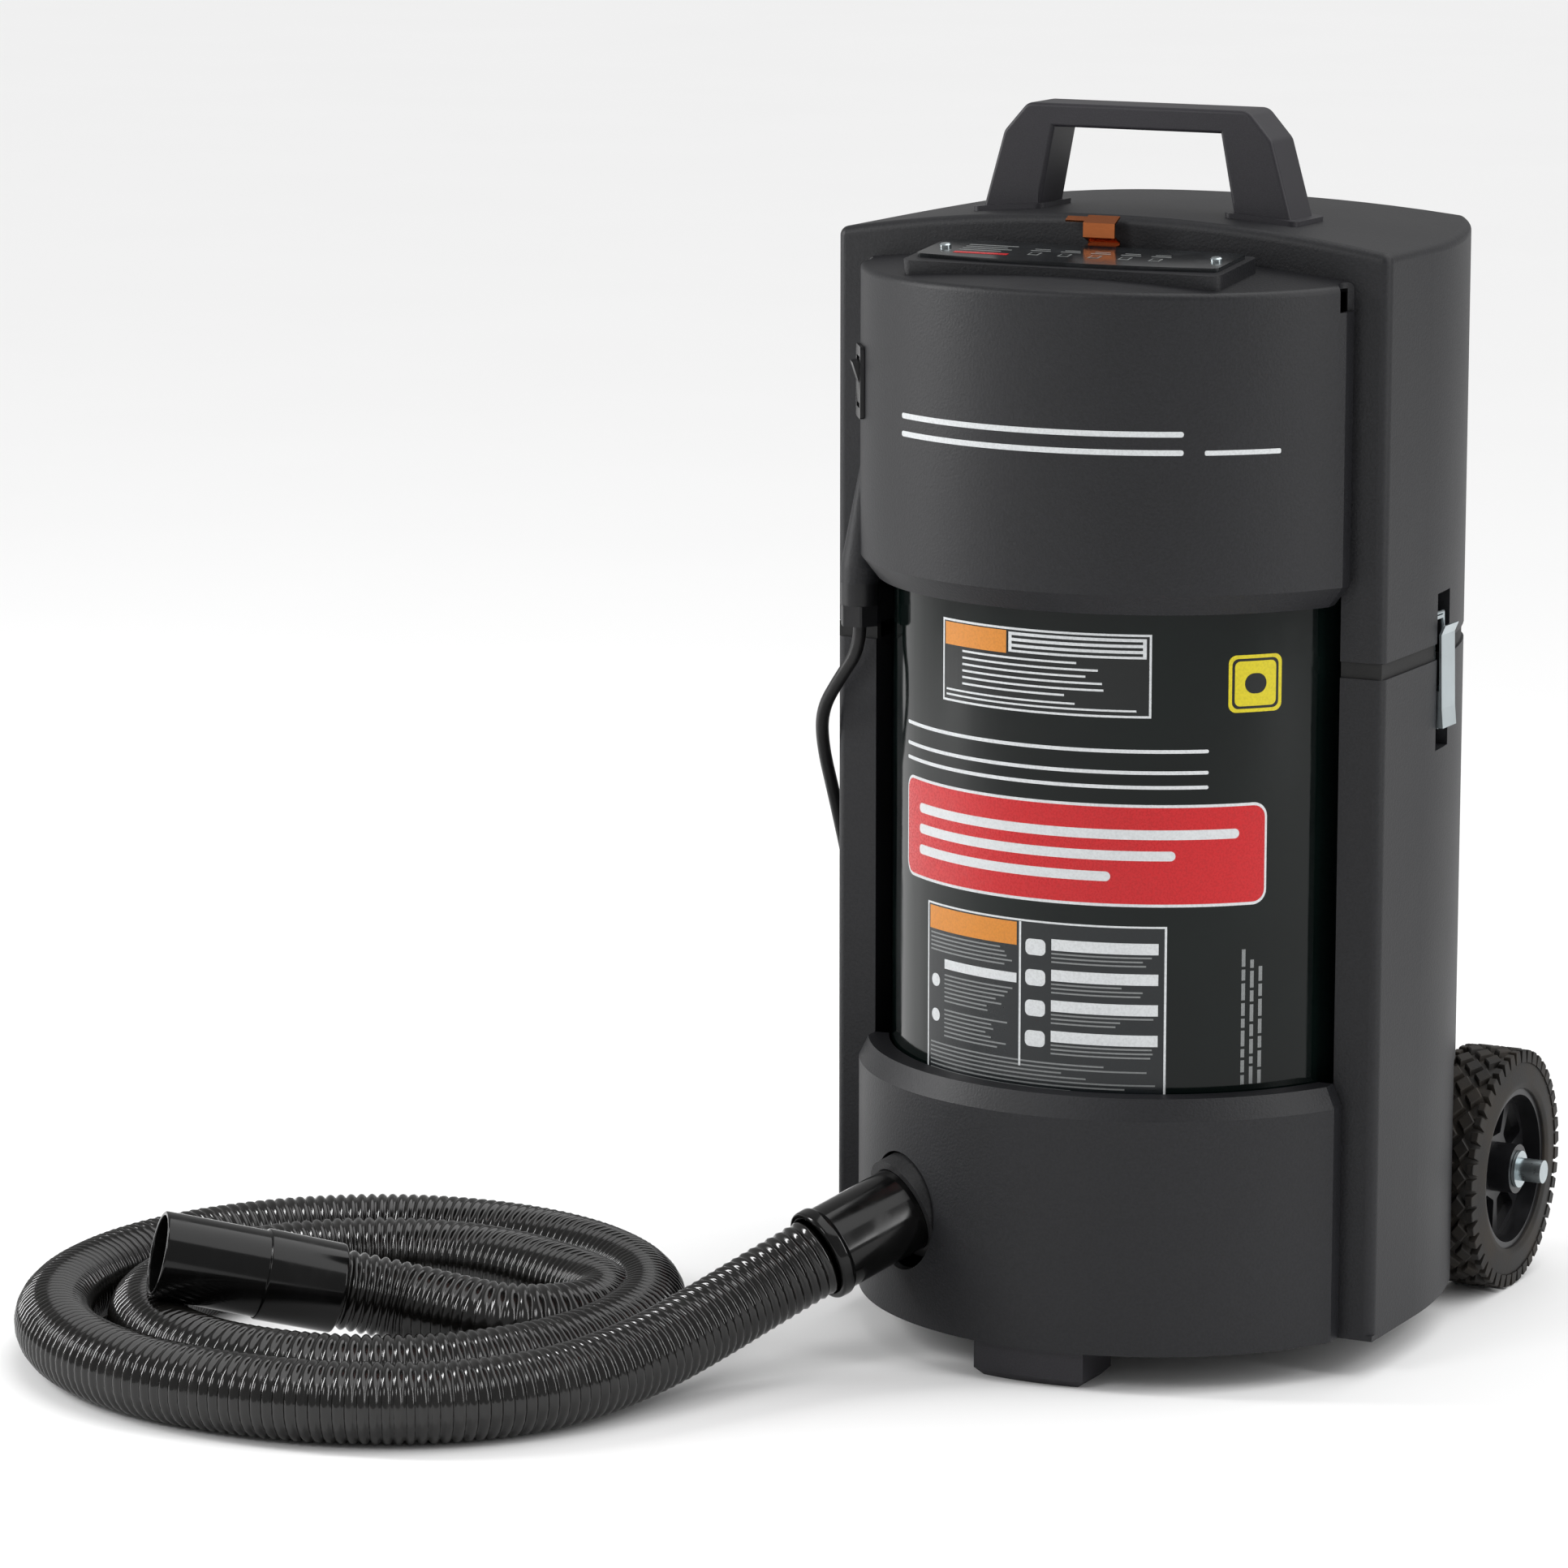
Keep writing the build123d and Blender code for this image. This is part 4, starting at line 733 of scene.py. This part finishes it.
def inlet_frame():
    """A frame on the drum's axis at the inlet, whose z runs out along the cuff."""
    out = Vector((-math.sin(INLET_ANGLE), -math.cos(INLET_ANGLE), 0))
    x, y = drum_centre()
    port = Vector((x, y, INLET_HEIGHT)) + out * CAP_RADIUS
    slope = out * math.cos(INLET_DROOP) - Vector((0, 0, math.sin(INLET_DROOP)))
    return along(port, port + slope)


def hose_route():
    """Out of the cuff, once round outside, once round inside and up to the nozzle."""
    start, end = COIL_STOPS[0][0], COIL_STOPS[-1][0]
    points = [inlet_frame() @ Vector((0, 0, CUFF_REACH))]
    points += [front(*p) for p in HOSE_RUN_POINTS]
    for step in range(1, COIL_STEPS):
        degrees = start + (end - start) * step / COIL_STEPS
        radius = between(COIL_STOPS, degrees)
        angle = math.radians(degrees)
        x, y = COIL_CENTRE
        points.append(front(x + radius * math.cos(angle), y + radius * math.sin(angle), HOSE_FLOOR))
    return points + [front(*p) for p in HOSE_TAIL_POINTS]


def cord_turns(diameter):
    """The stored turns: inwards on the floor, up a layer, outwards, and up again."""
    low = CORD_POINTS[-1][2]
    outer = CORD_COIL_MIDDLE + diameter
    radii = [outer - diameter * k for k in (0, 1, 2, 2, 1, 0, 0)]
    layers = [low + diameter * k for k in (0, 0, 0, 1, 1, 1, 2)]
    points = []
    for step in range(1, int(CORD_COIL_TURNS * CORD_TURN_STEPS)):
        turn = step / CORD_TURN_STEPS
        whole = int(turn)
        share = max(0, (turn - whole - 1 + CORD_CROSSING) / CORD_CROSSING)
        following = min(whole + 1, len(radii) - 1)
        radius = radii[whole] + (radii[following] - radii[whole]) * share
        height = layers[whole] + (layers[following] - layers[whole]) * share
        angle = math.radians(CORD_COIL_ANGLE - 360 * turn)
        x, y = CORD_COIL_CENTRE
        points.append(front(x + radius * math.cos(angle), y + radius * math.sin(angle), height))
    return points


# Prints


def arc_slab(radius, left, right, low, high, lift, thick, corner=0.0):
    """A rounded rectangle bent round the drum's axis. Sides are angles from the front."""
    x, y = drum_centre()
    width = (right - left) * radius
    columns = max(2, int(width / 0.004))
    places = {i / columns * width for i in range(columns + 1)}
    for step in range(7):
        reach = corner * (1 - math.cos(step * math.pi / 12))
        places |= {reach, width - reach}
    sections = []
    for place in sorted(places):
        side = min(place, width - place)
        cut = corner - math.sqrt(max(0, corner ** 2 - (corner - side) ** 2)) if side < corner else 0
        if low + cut >= high - cut:
            continue
        angle = left + place / radius
        across = Vector((math.sin(angle), -math.cos(angle), 0))
        inner = Vector((x, y, 0)) + across * (radius + lift)
        outer = inner + across * thick
        sections.append([
            (inner.x, inner.y, low + cut), (outer.x, outer.y, low + cut),
            (outer.x, outer.y, high - cut), (inner.x, inner.y, high - cut)])
    return lofted("slab", sections)


class Print:
    """Layers of ink on a round surface, each a little above the one below."""

    LAYER = 0.00006
    REST = 0.00006

    def __init__(self, radius):
        self.radius = radius
        self.meshes = []

    def box(self, ink, left, right, low, high, layer=0, corner=0.0):
        """A filled box. Sides are in degrees from the front, heights in millimetres."""
        slab = arc_slab(
            self.radius, math.radians(left), math.radians(right), low * MM, high * MM,
            self.REST + layer * self.LAYER, self.LAYER, corner * MM)
        self.meshes.append(painted(slab, ink))

    def lines(self, ink, left, right, low, high, pitch, seed, layer=2, thick=0.9):
        """Rows of plain bars of uneven length, which stand for small print."""
        draw = random.Random(seed)
        top = high
        while top - thick > low:
            end = left + (right - left) * draw.uniform(0.62, 1.0)
            self.box(ink, left, end, top - thick, top, layer)
            top -= pitch

    def mesh(self, name):
        return merged(name, self.meshes)


def drum_print(inks):
    """Two plain panels, a band, a sticker and a column of small print."""
    work = Print(DRUM_RADIUS)
    # Upper panel
    work.box(inks["white"], *UPPER_PANEL)
    work.box(inks["dark"], -27.0, 24.0, 416.9, 465.1, 1)
    work.box(inks["header"], -26.6, -8.6, 450.5, 464.4, 2)
    work.box(inks["white"], -8.0, 23.4, 451.5, 463.8, 2)
    for low in (453.0, 456.6, 460.2):
        work.box(inks["dark"], -7.2, 22.6, low, low + 1.7, 3)
    work.lines(inks["white"], -21.0, 20.0, 424.5, 448.5, 4.0, 3, thick=1.3)
    work.lines(inks["white"], -26.2, 22.0, 417.5, 423.5, 3.2, 8, thick=1.2)
    # Plain band with pinstripes
    work.box(inks["white"], *BAND, 0, 9)
    work.box(inks["band"], -43.0, 50.0, 301.3, 360.7, 1, 7.5)
    for low, right in ((341, 44), (328, 30), (315, 16)):
        work.box(inks["white"], -37, right, low, low + 6, 2, 2.9)
    for low, right in ((394, 37), (381, 37), (372, 37)):
        work.box(inks["white"], -43.5, right, low, low + 2.2, 0, 1)
    # Lower panel
    work.box(inks["white"], *LOWER_PANEL)
    work.box(inks["grey"], -32.5, 27.9, 177, 286.3, 1)
    work.box(inks["header"], -32.0, -5.4, 271.0, 285.4, 2)
    work.box(inks["white"], -4.8, -4.3, 196, 286.0, 2)
    work.lines(inks["pale"], -31.6, -6.0, 257, 269, 2.6, 5, thick=1.0)
    work.box(inks["white"], -26.5, -5.4, 247.5, 253.5, 2)
    for left, high in ((-26.5, 244), (-26.5, 222)):
        work.lines(inks["pale"], left, -6.0, high - 18, high, 2.7, int(high), thick=1.0)
        work.box(inks["white"], -31.2, -28.2, high - 9, high - 1, 2, 3.9)
    for index in range(4):
        high = 277 - index * 19
        work.box(inks["white"], 3.0, 26.6, high - 7, high, 2)
        work.lines(inks["pale"], 3.0, 26.0, high - 15, high - 8.5, 2.6, 20 + index, thick=1.0)
        work.box(inks["white"], -3.2, 1.6, high - 11, high - 1, 2, 3.2)
    work.lines(inks["pale"], -31.6, 27.0, 178, 200, 2.7, 40, thick=1.0)
    # Small square sticker with a dot
    work.box(inks["sticker"], *STICKER, 0, 5)
    work.box(inks["dark"], 42.0, 52.8, 420.2, 450.8, 1, 4)
    work.box(inks["sticker"], 42.6, 52.2, 421.8, 449.2, 2, 3.4)
    work.box(inks["dark"], 44.9, 49.9, 429.3, 441.7, 3, 6)
    # Column of small print that reads upwards
    for left, seed in ((45.0, 51), (47.0, 52), (49.0, 53)):
        draw = random.Random(seed)
        low = 188.0
        while low < 262:
            reach = draw.uniform(4, 11)
            work.box(inks["pale"], left, left + 0.85, low, low + reach)
            low += reach + 1.8
    return work.mesh("drum_print")


def cap_print(inks):
    """Two plain lines across the upper front cap, and a shorter one."""
    work = Print(CAP_RADIUS)
    for low in TITLE_HEIGHTS:
        work.box(inks["white"], TITLE_LEFT, TITLE_RIGHT, low, low + TITLE_THICK, 0, 1.5)
    work.box(inks["white"], 34.0, 49.0, 577.5, 580.5, 0, 1)
    return work.mesh("cap_print")


def plate_frame():
    """A frame on the top plate's upper face: x to the right, y up the slope."""
    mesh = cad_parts["top_plate"].data
    upper = [face for face in mesh.polygons if face.normal.z > 0.9]
    largest = max(upper, key=lambda face: face.area)
    out = largest.normal.normalized()
    low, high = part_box("top_plate")
    height = largest.center.z
    middle_y = (low.y + high.y) / 2
    slope = Vector((1, 0, 0)).cross(out) * -1
    height += (middle_y - largest.center.y) * -out.y / out.z
    turn = Matrix((Vector((1, 0, 0)), -slope, out)).transposed()
    return Matrix.Translation(Vector(((low.x + high.x) / 2, middle_y, height))) @ turn.to_4x4()


def plate_box(place, ink, left, right, low, high, lift=0.00005, thick=0.00012):
    """A flat printed box on the top plate, in millimetres from its middle."""
    sections = [
        [(x * MM, low * MM, lift), (x * MM, high * MM, lift),
         (x * MM, high * MM, lift + thick), (x * MM, low * MM, lift + thick)]
        for x in (left, right)]
    return painted(lofted("plate_ink", sections, place), ink)


def plate_print(inks):
    """Plain marks on the top plate: a bar, a row of lamps and short lines."""
    place = plate_frame()
    boxes = [plate_box(place, inks["band"], -78, -42, 9, 13)]
    for row, height in enumerate((3, -2, -7, -12)):
        boxes.append(plate_box(place, inks["pale"], -78, -50 + 5 * (row % 2), height, height + 1.6))
    for index in range(5):
        left = -30 + index * 20
        boxes.append(plate_box(place, inks["pale"], left, left + 7, 2, 9))
        boxes.append(plate_box(place, inks["dark"], left + 1, left + 6, 3, 8, 0.0002, 0.0001))
        boxes.append(plate_box(place, inks["pale"], left - 3, left + 10, -4, -2.6))
        boxes.append(plate_box(place, inks["pale"], left - 2, left + 8, -8, -6.8))
    return merged("plate_print", boxes)


# Operators


def colour_of(context, name):
    return tuple(getattr(context.scene.extractor_finish, name))


def slot_finishes(context):
    """The finish of each material slot of the record."""
    shell = colour_of(context, "shell")
    return {
        "shell_plastic": moulded("Shell plastic", shell, 0.50),
        "handle_plastic": moulded("Handle plastic", (0.0175, 0.0165, 0.0205), 0.46, 1500, 0.00012, 0.35),
        "drum_gloss": drum_wrap("Drum wrap", colour_of(context, "drum")),
        "screen_steel": metal("Screen steel", (0.50, 0.50, 0.49), 0.42),
        "end_ring_rubber": rubber("Seal rubber", (0.010, 0.010, 0.010), (0.03, 0.03, 0.03), 0.7, 0.3),
        "pleated_paper": moulded("Filter paper", (0.62, 0.60, 0.52), 0.9, 300, 0.0003),
        "chamber_plastic": moulded("Inner plastic", (0.018, 0.018, 0.019), 0.42),
        "zinc": metal("Bright zinc", (0.50, 0.56, 0.58), 0.30, (1, 1, 0.25)),
        "plate_print": gloss("Plate film", (0.008, 0.009, 0.010), 0.16, 30, 0.0002),
        "copper": metal("Copper", (0.42, 0.13, 0.045), 0.24, (0.3, 1, 1)),
        "switch_plastic": gloss("Switch plastic", (0.010, 0.010, 0.011), 0.24),
        "gland_nylon": moulded("Nylon", (0.006, 0.006, 0.007), 0.38, 1400, 0.0001, 0.3),
        "board": moulded("Circuit board", (0.01, 0.09, 0.03), 0.45, 500),
        "motor_steel": metal("Motor steel", (0.45, 0.45, 0.46), 0.38),
        "fan_aluminium": metal("Fan aluminium", (0.70, 0.70, 0.71), 0.36),
        "tyre_rubber": rubber("Tyre rubber", (0.008, 0.007, 0.006), (0.034, 0.026, 0.018), 0.60, 0.6),
        "rim_plastic": gloss("Rim plastic", (0.008, 0.008, 0.009), 0.32, 60, 0.0003, 0.3),
        "hose_pvc": gloss("Hose vinyl", (0.0045, 0.0042, 0.0038), 0.13, 90, 0.0004, 0.25, 0.5),
        "cuff_plastic": gloss("Cuff plastic", (0.003, 0.003, 0.003), 0.12, 30, 0.0004, 0.2, 0.28),
        "cord_rubber": rubber("Cord rubber", (0.006, 0.006, 0.0065), (0.016, 0.015, 0.015), 0.42, 0.35),
    }


FINISHES = {}
INKS = {}


class ExtractorFinishes(bpy.types.Operator):
    """Gives every CAD node the finish of its material slot"""

    bl_idname = "extractor.finishes"
    bl_label = "Finish the mouldings"

    def execute(self, context):
        FINISHES.update(slot_finishes(context))
        FINISHES["strap"] = woven("Strap weave", (0.02, 0.02, 0.022), 0.0011)
        INKS.update({
            "white": printed("White ink", (0.62, 0.64, 0.65)),
            "pale": printed("Pale ink", (0.20, 0.21, 0.21)),
            "dark": printed("Dark ink", (0.0025, 0.004, 0.004), 0.12),
            "grey": printed("Grey ink", (0.010, 0.0125, 0.014), 0.16),
            "header": printed("Header ink", colour_of(context, "header")),
            "band": printed("Band ink", colour_of(context, "band"), 0.22),
            "sticker": printed("Sticker ink", colour_of(context, "sticker")),
        })
        for name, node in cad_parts.items():
            for material_slot in node.material_slots:
                material_slot.material = FINISHES[material_slot.material.name.split(".")[0]]
        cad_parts["cord_tie"].material_slots[0].material = FINISHES["strap"]
        return {"FINISHED"}


class ExtractorHose(bpy.types.Operator):
    """Makes the ribbed hose with its cuff and nozzle"""

    bl_idname = "extractor.hose"
    bl_label = "Make the hose"

    def execute(self, context):
        sizes = context.scene.extractor_hose
        route = hose_route()
        cuff = self.cuff()
        nozzle = self.nozzle()
        line = spline_of("hose_line", route)
        path = line_of(line)
        with_tree(line, ribbed_tree(), {
            "Material": FINISHES["hose_pvc"], "Radius": sizes.diameter / 2,
            "Rib pitch": sizes.pitch, "Rib depth": sizes.depth})
        hose = piece(
            "suction_hose", plain_mesh(line, "suction_hose"), "base",
            ("hose_run", "hose_coil", "hose_tail"))
        return {"FINISHED"}

    def cuff(self):
        """The cuff, with a soft lip where the hose goes in."""
        reach, insert = CUFF_REACH, CUFF_INSERT
        outline = rounded([
            (-insert, 0.0220, 0.0008), (-insert, 0.0272, 0.0008), (reach - 0.0085, 0.0275, 0.0006),
            (reach - 0.0068, 0.0295, 0.0014), (reach + 0.0012, 0.0293, 0.0022),
            (reach + 0.0012, 0.0256, 0.0008), (reach - 0.0040, 0.0220, 0.0008)])
        mesh = painted(turned("suction_cuff", outline, inlet_frame()), FINISHES["cuff_plastic"])
        return piece("suction_cuff", mesh, "base", ("hose_cuff",))

    def nozzle(self):
        """The two-step nozzle, open at its mouth."""
        start, end = front(*NOZZLE_START), front(*NOZZLE_END)
        length = (end - start).length
        step = length * 0.42
        outline = rounded([
            (-0.0015, 0.0222, 0.0004), (-0.0015, 0.0280, 0.0016), (step, 0.0285, 0.0010),
            (step + 0.0003, 0.0271, 0.0005), (length, 0.0270, 0.0014), (length, 0.0238, 0.0014),
            (0.0060, 0.0236, 0.0010), (0.0055, 0.0222, 0.0004)])
        mesh = painted(turned("suction_nozzle", outline, along(start, end)), FINISHES["cuff_plastic"])
        return piece("suction_nozzle", mesh, "base", ("hose_nozzle",))


class ExtractorCord(bpy.types.Operator):
    """Makes the power cord with its plug"""

    bl_idname = "extractor.cord"
    bl_label = "Make the power cord"

    def execute(self, context):
        sizes = context.scene.extractor_cord
        exit_point = front(*CORD_EXIT)
        points = [exit_point] + [front(*p) for p in CORD_POINTS]
        points += cord_turns(sizes.diameter / MM) + [front(*p) for p in CORD_END_POINTS[1:]]
        line = spline_of("power_cord_line", points)
        path = line_of(line)
        line.data.bevel_depth = sizes.diameter / 2
        line.data.bevel_resolution = 4
        mesh = painted(plain_mesh(line, "power_cord"), FINISHES["cord_rubber"])
        mesh.shade_smooth()
        cord = piece(
            "power_cord", mesh, None,
            ("power_cord_run", "power_cord_coil", "power_cord_end"))
        front(*CORD_STILL)
        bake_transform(cord)
        self.plug()
        return {"FINISHED"}

    def plug(self):
        """A moulded plug with a ribbed relief, two blades and a round pin."""
        start = front(*CORD_END_POINTS[-1])
        place = along(start, start + Vector(PLUG_LEAN))
        outline = rounded([
            (-0.022, 0.0038, 0.0003), (-0.022, 0.0052, 0.0006), (-0.004, 0.0066, 0.0012),
            (0.002, 0.0090, 0.0030), (0.012, 0.0134, 0.0050), (0.031, 0.0139, 0.0030),
            (0.038, 0.0130, 0.0018), (0.038, 0.0010, 0.0)])
        rubber_part = painted(turned("plug_body", outline, place, 40), FINISHES["cord_rubber"])
        rings = []
        for index in range(4):
            at, reach = -0.0200 + 0.0045 * index, 0.0066 + 0.0004 * index
            edge = rounded([
                (at, 0.0040, 0.0), (at, reach, 0.0004),
                (at + 0.0022, reach, 0.0004), (at + 0.0022, 0.0040, 0.0)])
            rings.append(painted(turned("plug_ring", edge, place, 32), FINISHES["cord_rubber"]))
        pins = []
        for x in (-BLADE_OFFSET, BLADE_OFFSET):
            sections = [
                [((x - w) * MM, -h * MM, z), ((x + w) * MM, -h * MM, z), ((x + w) * MM, h * MM, z),
                 ((x - w) * MM, h * MM, z)]
                for z, w, h in ((0.036, 0.75, 3.25), (0.0535, 0.75, 3.25), (0.055, 0.4, 2.9))]
            pins.append(painted(lofted("plug_blade", sections, place), FINISHES["zinc"]))
        pin_place = place @ Matrix.Translation((0, PIN_OFFSET * MM, 0))
        pin_outline = rounded([
            (0.036, 0.0002, 0), (0.036, 0.0024, 0), (0.0565, 0.0024, 0.0012), (0.0565, 0.0002, 0)])
        pins.append(painted(turned("plug_pin", pin_outline, pin_place, 24), FINISHES["zinc"]))
        mesh = merged("mains_plug", [rubber_part] + rings + pins)
        return piece("mains_plug", mesh, "base", ("power_plug",))


class ExtractorTyres(bpy.types.Operator):
    """Makes a lugged tyre for each wheel"""

    bl_idname = "extractor.tyres"
    bl_label = "Make the tyres"

    def execute(self, context):
        sizes = context.scene.extractor_tyre
        tree = round_tree()
        for side in ("left", "right"):
            low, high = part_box("tyre_" + side)
            centre = (low + high) / 2
            radius = (high.z - low.z) / 2
            half = (high.x - low.x) / 2
            body = painted(self.carcass(centre, radius - sizes.height, half), FINISHES["tyre_rubber"])
            lug = self.block(radius - 0.0002, sizes.height + 0.0015, 0.0064, 0.0078, diamond=True)
            tread = self.copies(tree, lug, centre, sizes.rows, sizes.count, radius - 0.0002, 0.0098)
            edges = []
            for sign in (-1, 1):
                block = self.block(radius, sizes.height + 0.0045, 0.0026, 0.0035)
                spot = centre + Vector((sign * (half - 0.0034), 0, 0))
                edges.append(self.copies(tree, block, spot, 1, sizes.shoulder_count, radius - 0.0007, 0.0))
            mesh = merged("tread_tyre_" + side, [body, tread] + edges)
            piece("tread_tyre_" + side, mesh, "wheel_" + side, ("tyre_" + side,))
        return {"FINISHED"}

    def carcass(self, centre, radius, half):
        """The tyre's body, with a flat ring on each side and a bead at the rim."""
        bead = 0.052
        outline = rounded([
            (-half + 0.0012, bead, 0.0008), (-half, bead + 0.0035, 0.0015),
            (-half + 0.0010, radius - 0.0085, 0.0020), (-half + 0.0016, radius - 0.0035, 0.0030),
            (-half + 0.0065, radius - 0.0002, 0.0040), (0.0, radius, 0.010),
            (half - 0.0065, radius - 0.0002, 0.0040), (half - 0.0016, radius - 0.0035, 0.0030),
            (half - 0.0010, radius - 0.0085, 0.0020), (half, bead + 0.0035, 0.0015),
            (half - 0.0012, bead, 0.0008)])
        place = Matrix.Translation(centre) @ Matrix.Rotation(math.pi / 2, 4, "Y")
        return turned("carcass", outline, place, 96)

    def block(self, radius, height, across, around, diamond=False):
        """One block of tread, whose top is at the origin, with sloping sides."""
        corners = [(-across, 0), (0, -around), (across, 0), (0, around)] if diamond else [
            (-across, -around), (across, -around), (across, around), (-across, around)]
        sections = [
            [(x * grow, y * grow, z) for x, y in corners]
            for z, grow in ((-height, 1.12), (-0.0007, 0.90), (0.0, 0.76))]
        return lofted("block", sections)

    def copies(self, tree, block, centre, rows, count, radius, pitch):
        """The block repeated round the tyre, as one plain mesh."""
        made = bpy.data.objects.new("blocks", block)
        bpy.context.scene.collection.objects.link(made)
        with_tree(made, tree, {
            "Material": FINISHES["tyre_rubber"], "Rows": rows, "Count": count,
            "Radius": radius, "Row pitch": pitch})
        mesh = plain_mesh(made, "blocks")
        mesh.transform(Matrix.Translation(centre))
        return mesh


class ExtractorPrints(bpy.types.Operator):
    """Makes the plain prints on the drum, the upper cap and the top plate"""

    bl_idname = "extractor.prints"
    bl_label = "Make the prints"

    def execute(self, context):
        piece("drum_print", drum_print(INKS), "base")
        piece("cap_print", cap_print(INKS), "head")
        piece("top_plate_print", plate_print(INKS), "head")
        return {"FINISHED"}


class ExtractorStage(bpy.types.Operator):
    """Makes the floor, the lights and the camera"""

    bl_idname = "extractor.stage"
    bl_label = "Set the stage"

    def execute(self, context):
        scene = context.scene
        settings = scene.extractor_stage
        scene.view_settings.view_transform = "Standard"
        self.floor()
        self.sky(scene, settings.sky)
        self.sun(settings.sun)
        for name, lamp in LAMPS.items():
            self.lamp(name, *lamp)
        camera = bpy.data.cameras.new("camera")
        camera.lens = settings.lens
        camera.sensor_width = SENSOR_WIDTH
        camera.clip_end = 200
        eye = bpy.data.objects.new("camera", camera)
        scene.collection.objects.link(eye)
        eye.location = CAMERA_PLACE
        eye.rotation_euler = (math.pi / 2 - settings.pitch, 0, settings.azimuth)
        scene.camera = eye
        return {"FINISHED"}

    def floor(self):
        """A wide pale floor."""
        material, graph, shader = finish("Studio floor", {"Roughness": 0.85, "Specular IOR Level": 0.1})
        pale = graph.colour(graph.noise(2.0, 3), (0.88, 0.88, 0.88), (0.90, 0.90, 0.90))
        join(graph, shader, Base_Color=pale)
        half = FLOOR_HALF
        corners = [(-half, -half, 0), (half, -half, 0), (half, half, 0), (-half, half, 0)]
        mesh = painted(mesh_of("studio_floor", corners, [(0, 1, 2, 3)]), material)
        made = bpy.data.objects.new("studio_floor", mesh)
        bpy.context.scene.collection.objects.link(made)

    def sky(self, scene, strength):
        """White surroundings."""
        scene.world = bpy.data.worlds.new("studio")
        scene.world.use_nodes = True
        background = scene.world.node_tree.nodes["Background"]
        background.inputs["Color"].default_value = (1, 1, 1, 1)
        background.inputs["Strength"].default_value = strength

    def sun(self, strength):
        """A broad overhead light that whitens the floor evenly and leaves soft shadows."""
        data = bpy.data.lights.new("broad_light", "SUN")
        data.energy = strength
        data.angle = SUN_SPREAD
        made = bpy.data.objects.new("broad_light", data)
        bpy.context.scene.collection.objects.link(made)
        made.rotation_euler = (-Vector(SUN_PLACE)).to_track_quat("-Z", "Y").to_euler()

    def lamp(self, name, place, target, size, power):
        """A soft area light that faces a target."""
        data = bpy.data.lights.new(name, "AREA")
        data.shape = "RECTANGLE"
        data.size, data.size_y = size
        data.energy = power
        made = bpy.data.objects.new(name, data)
        bpy.context.scene.collection.objects.link(made)
        made.location = place
        made.rotation_euler = (Vector(target) - Vector(place)).to_track_quat("-Z", "Y").to_euler()


class ExtractorPanel(bpy.types.Panel):
    """Lists the pieces and their sizes"""

    bl_idname = "EXTRACTOR_PT_pieces"
    bl_label = "Extractor"
    bl_space_type = "VIEW_3D"
    bl_region_type = "UI"
    bl_category = "Extractor"

    def draw(self, context):
        for owner, settings in SETTINGS.items():
            box = self.layout.box()
            for key in settings.__annotations__:
                box.prop(getattr(context.scene, owner), key)
        for operator in OPERATORS:
            self.layout.operator(operator.bl_idname)


SETTINGS = {
    "extractor_hose": HoseSettings,
    "extractor_cord": CordSettings,
    "extractor_tyre": TyreSettings,
    "extractor_finish": FinishSettings,
    "extractor_stage": StageSettings,
}
OPERATORS = (
    ExtractorFinishes, ExtractorHose, ExtractorCord, ExtractorTyres, ExtractorPrints, ExtractorStage)


def register():
    for settings in (*SETTINGS.values(), *OPERATORS, ExtractorPanel):
        bpy.utils.register_class(settings)
    for owner, settings in SETTINGS.items():
        setattr(bpy.types.Scene, owner, bpy.props.PointerProperty(type=settings))


def unregister():
    for owner in SETTINGS:
        delattr(bpy.types.Scene, owner)
    for settings in reversed((*SETTINGS.values(), *OPERATORS, ExtractorPanel)):
        bpy.utils.unregister_class(settings)


def main():
    register()
    bpy.ops.extractor.finishes()
    bpy.ops.extractor.hose()
    bpy.ops.extractor.cord()
    bpy.ops.extractor.tyres()
    bpy.ops.extractor.prints()
    bpy.ops.extractor.stage()


if __name__ == "__main__":
    main()
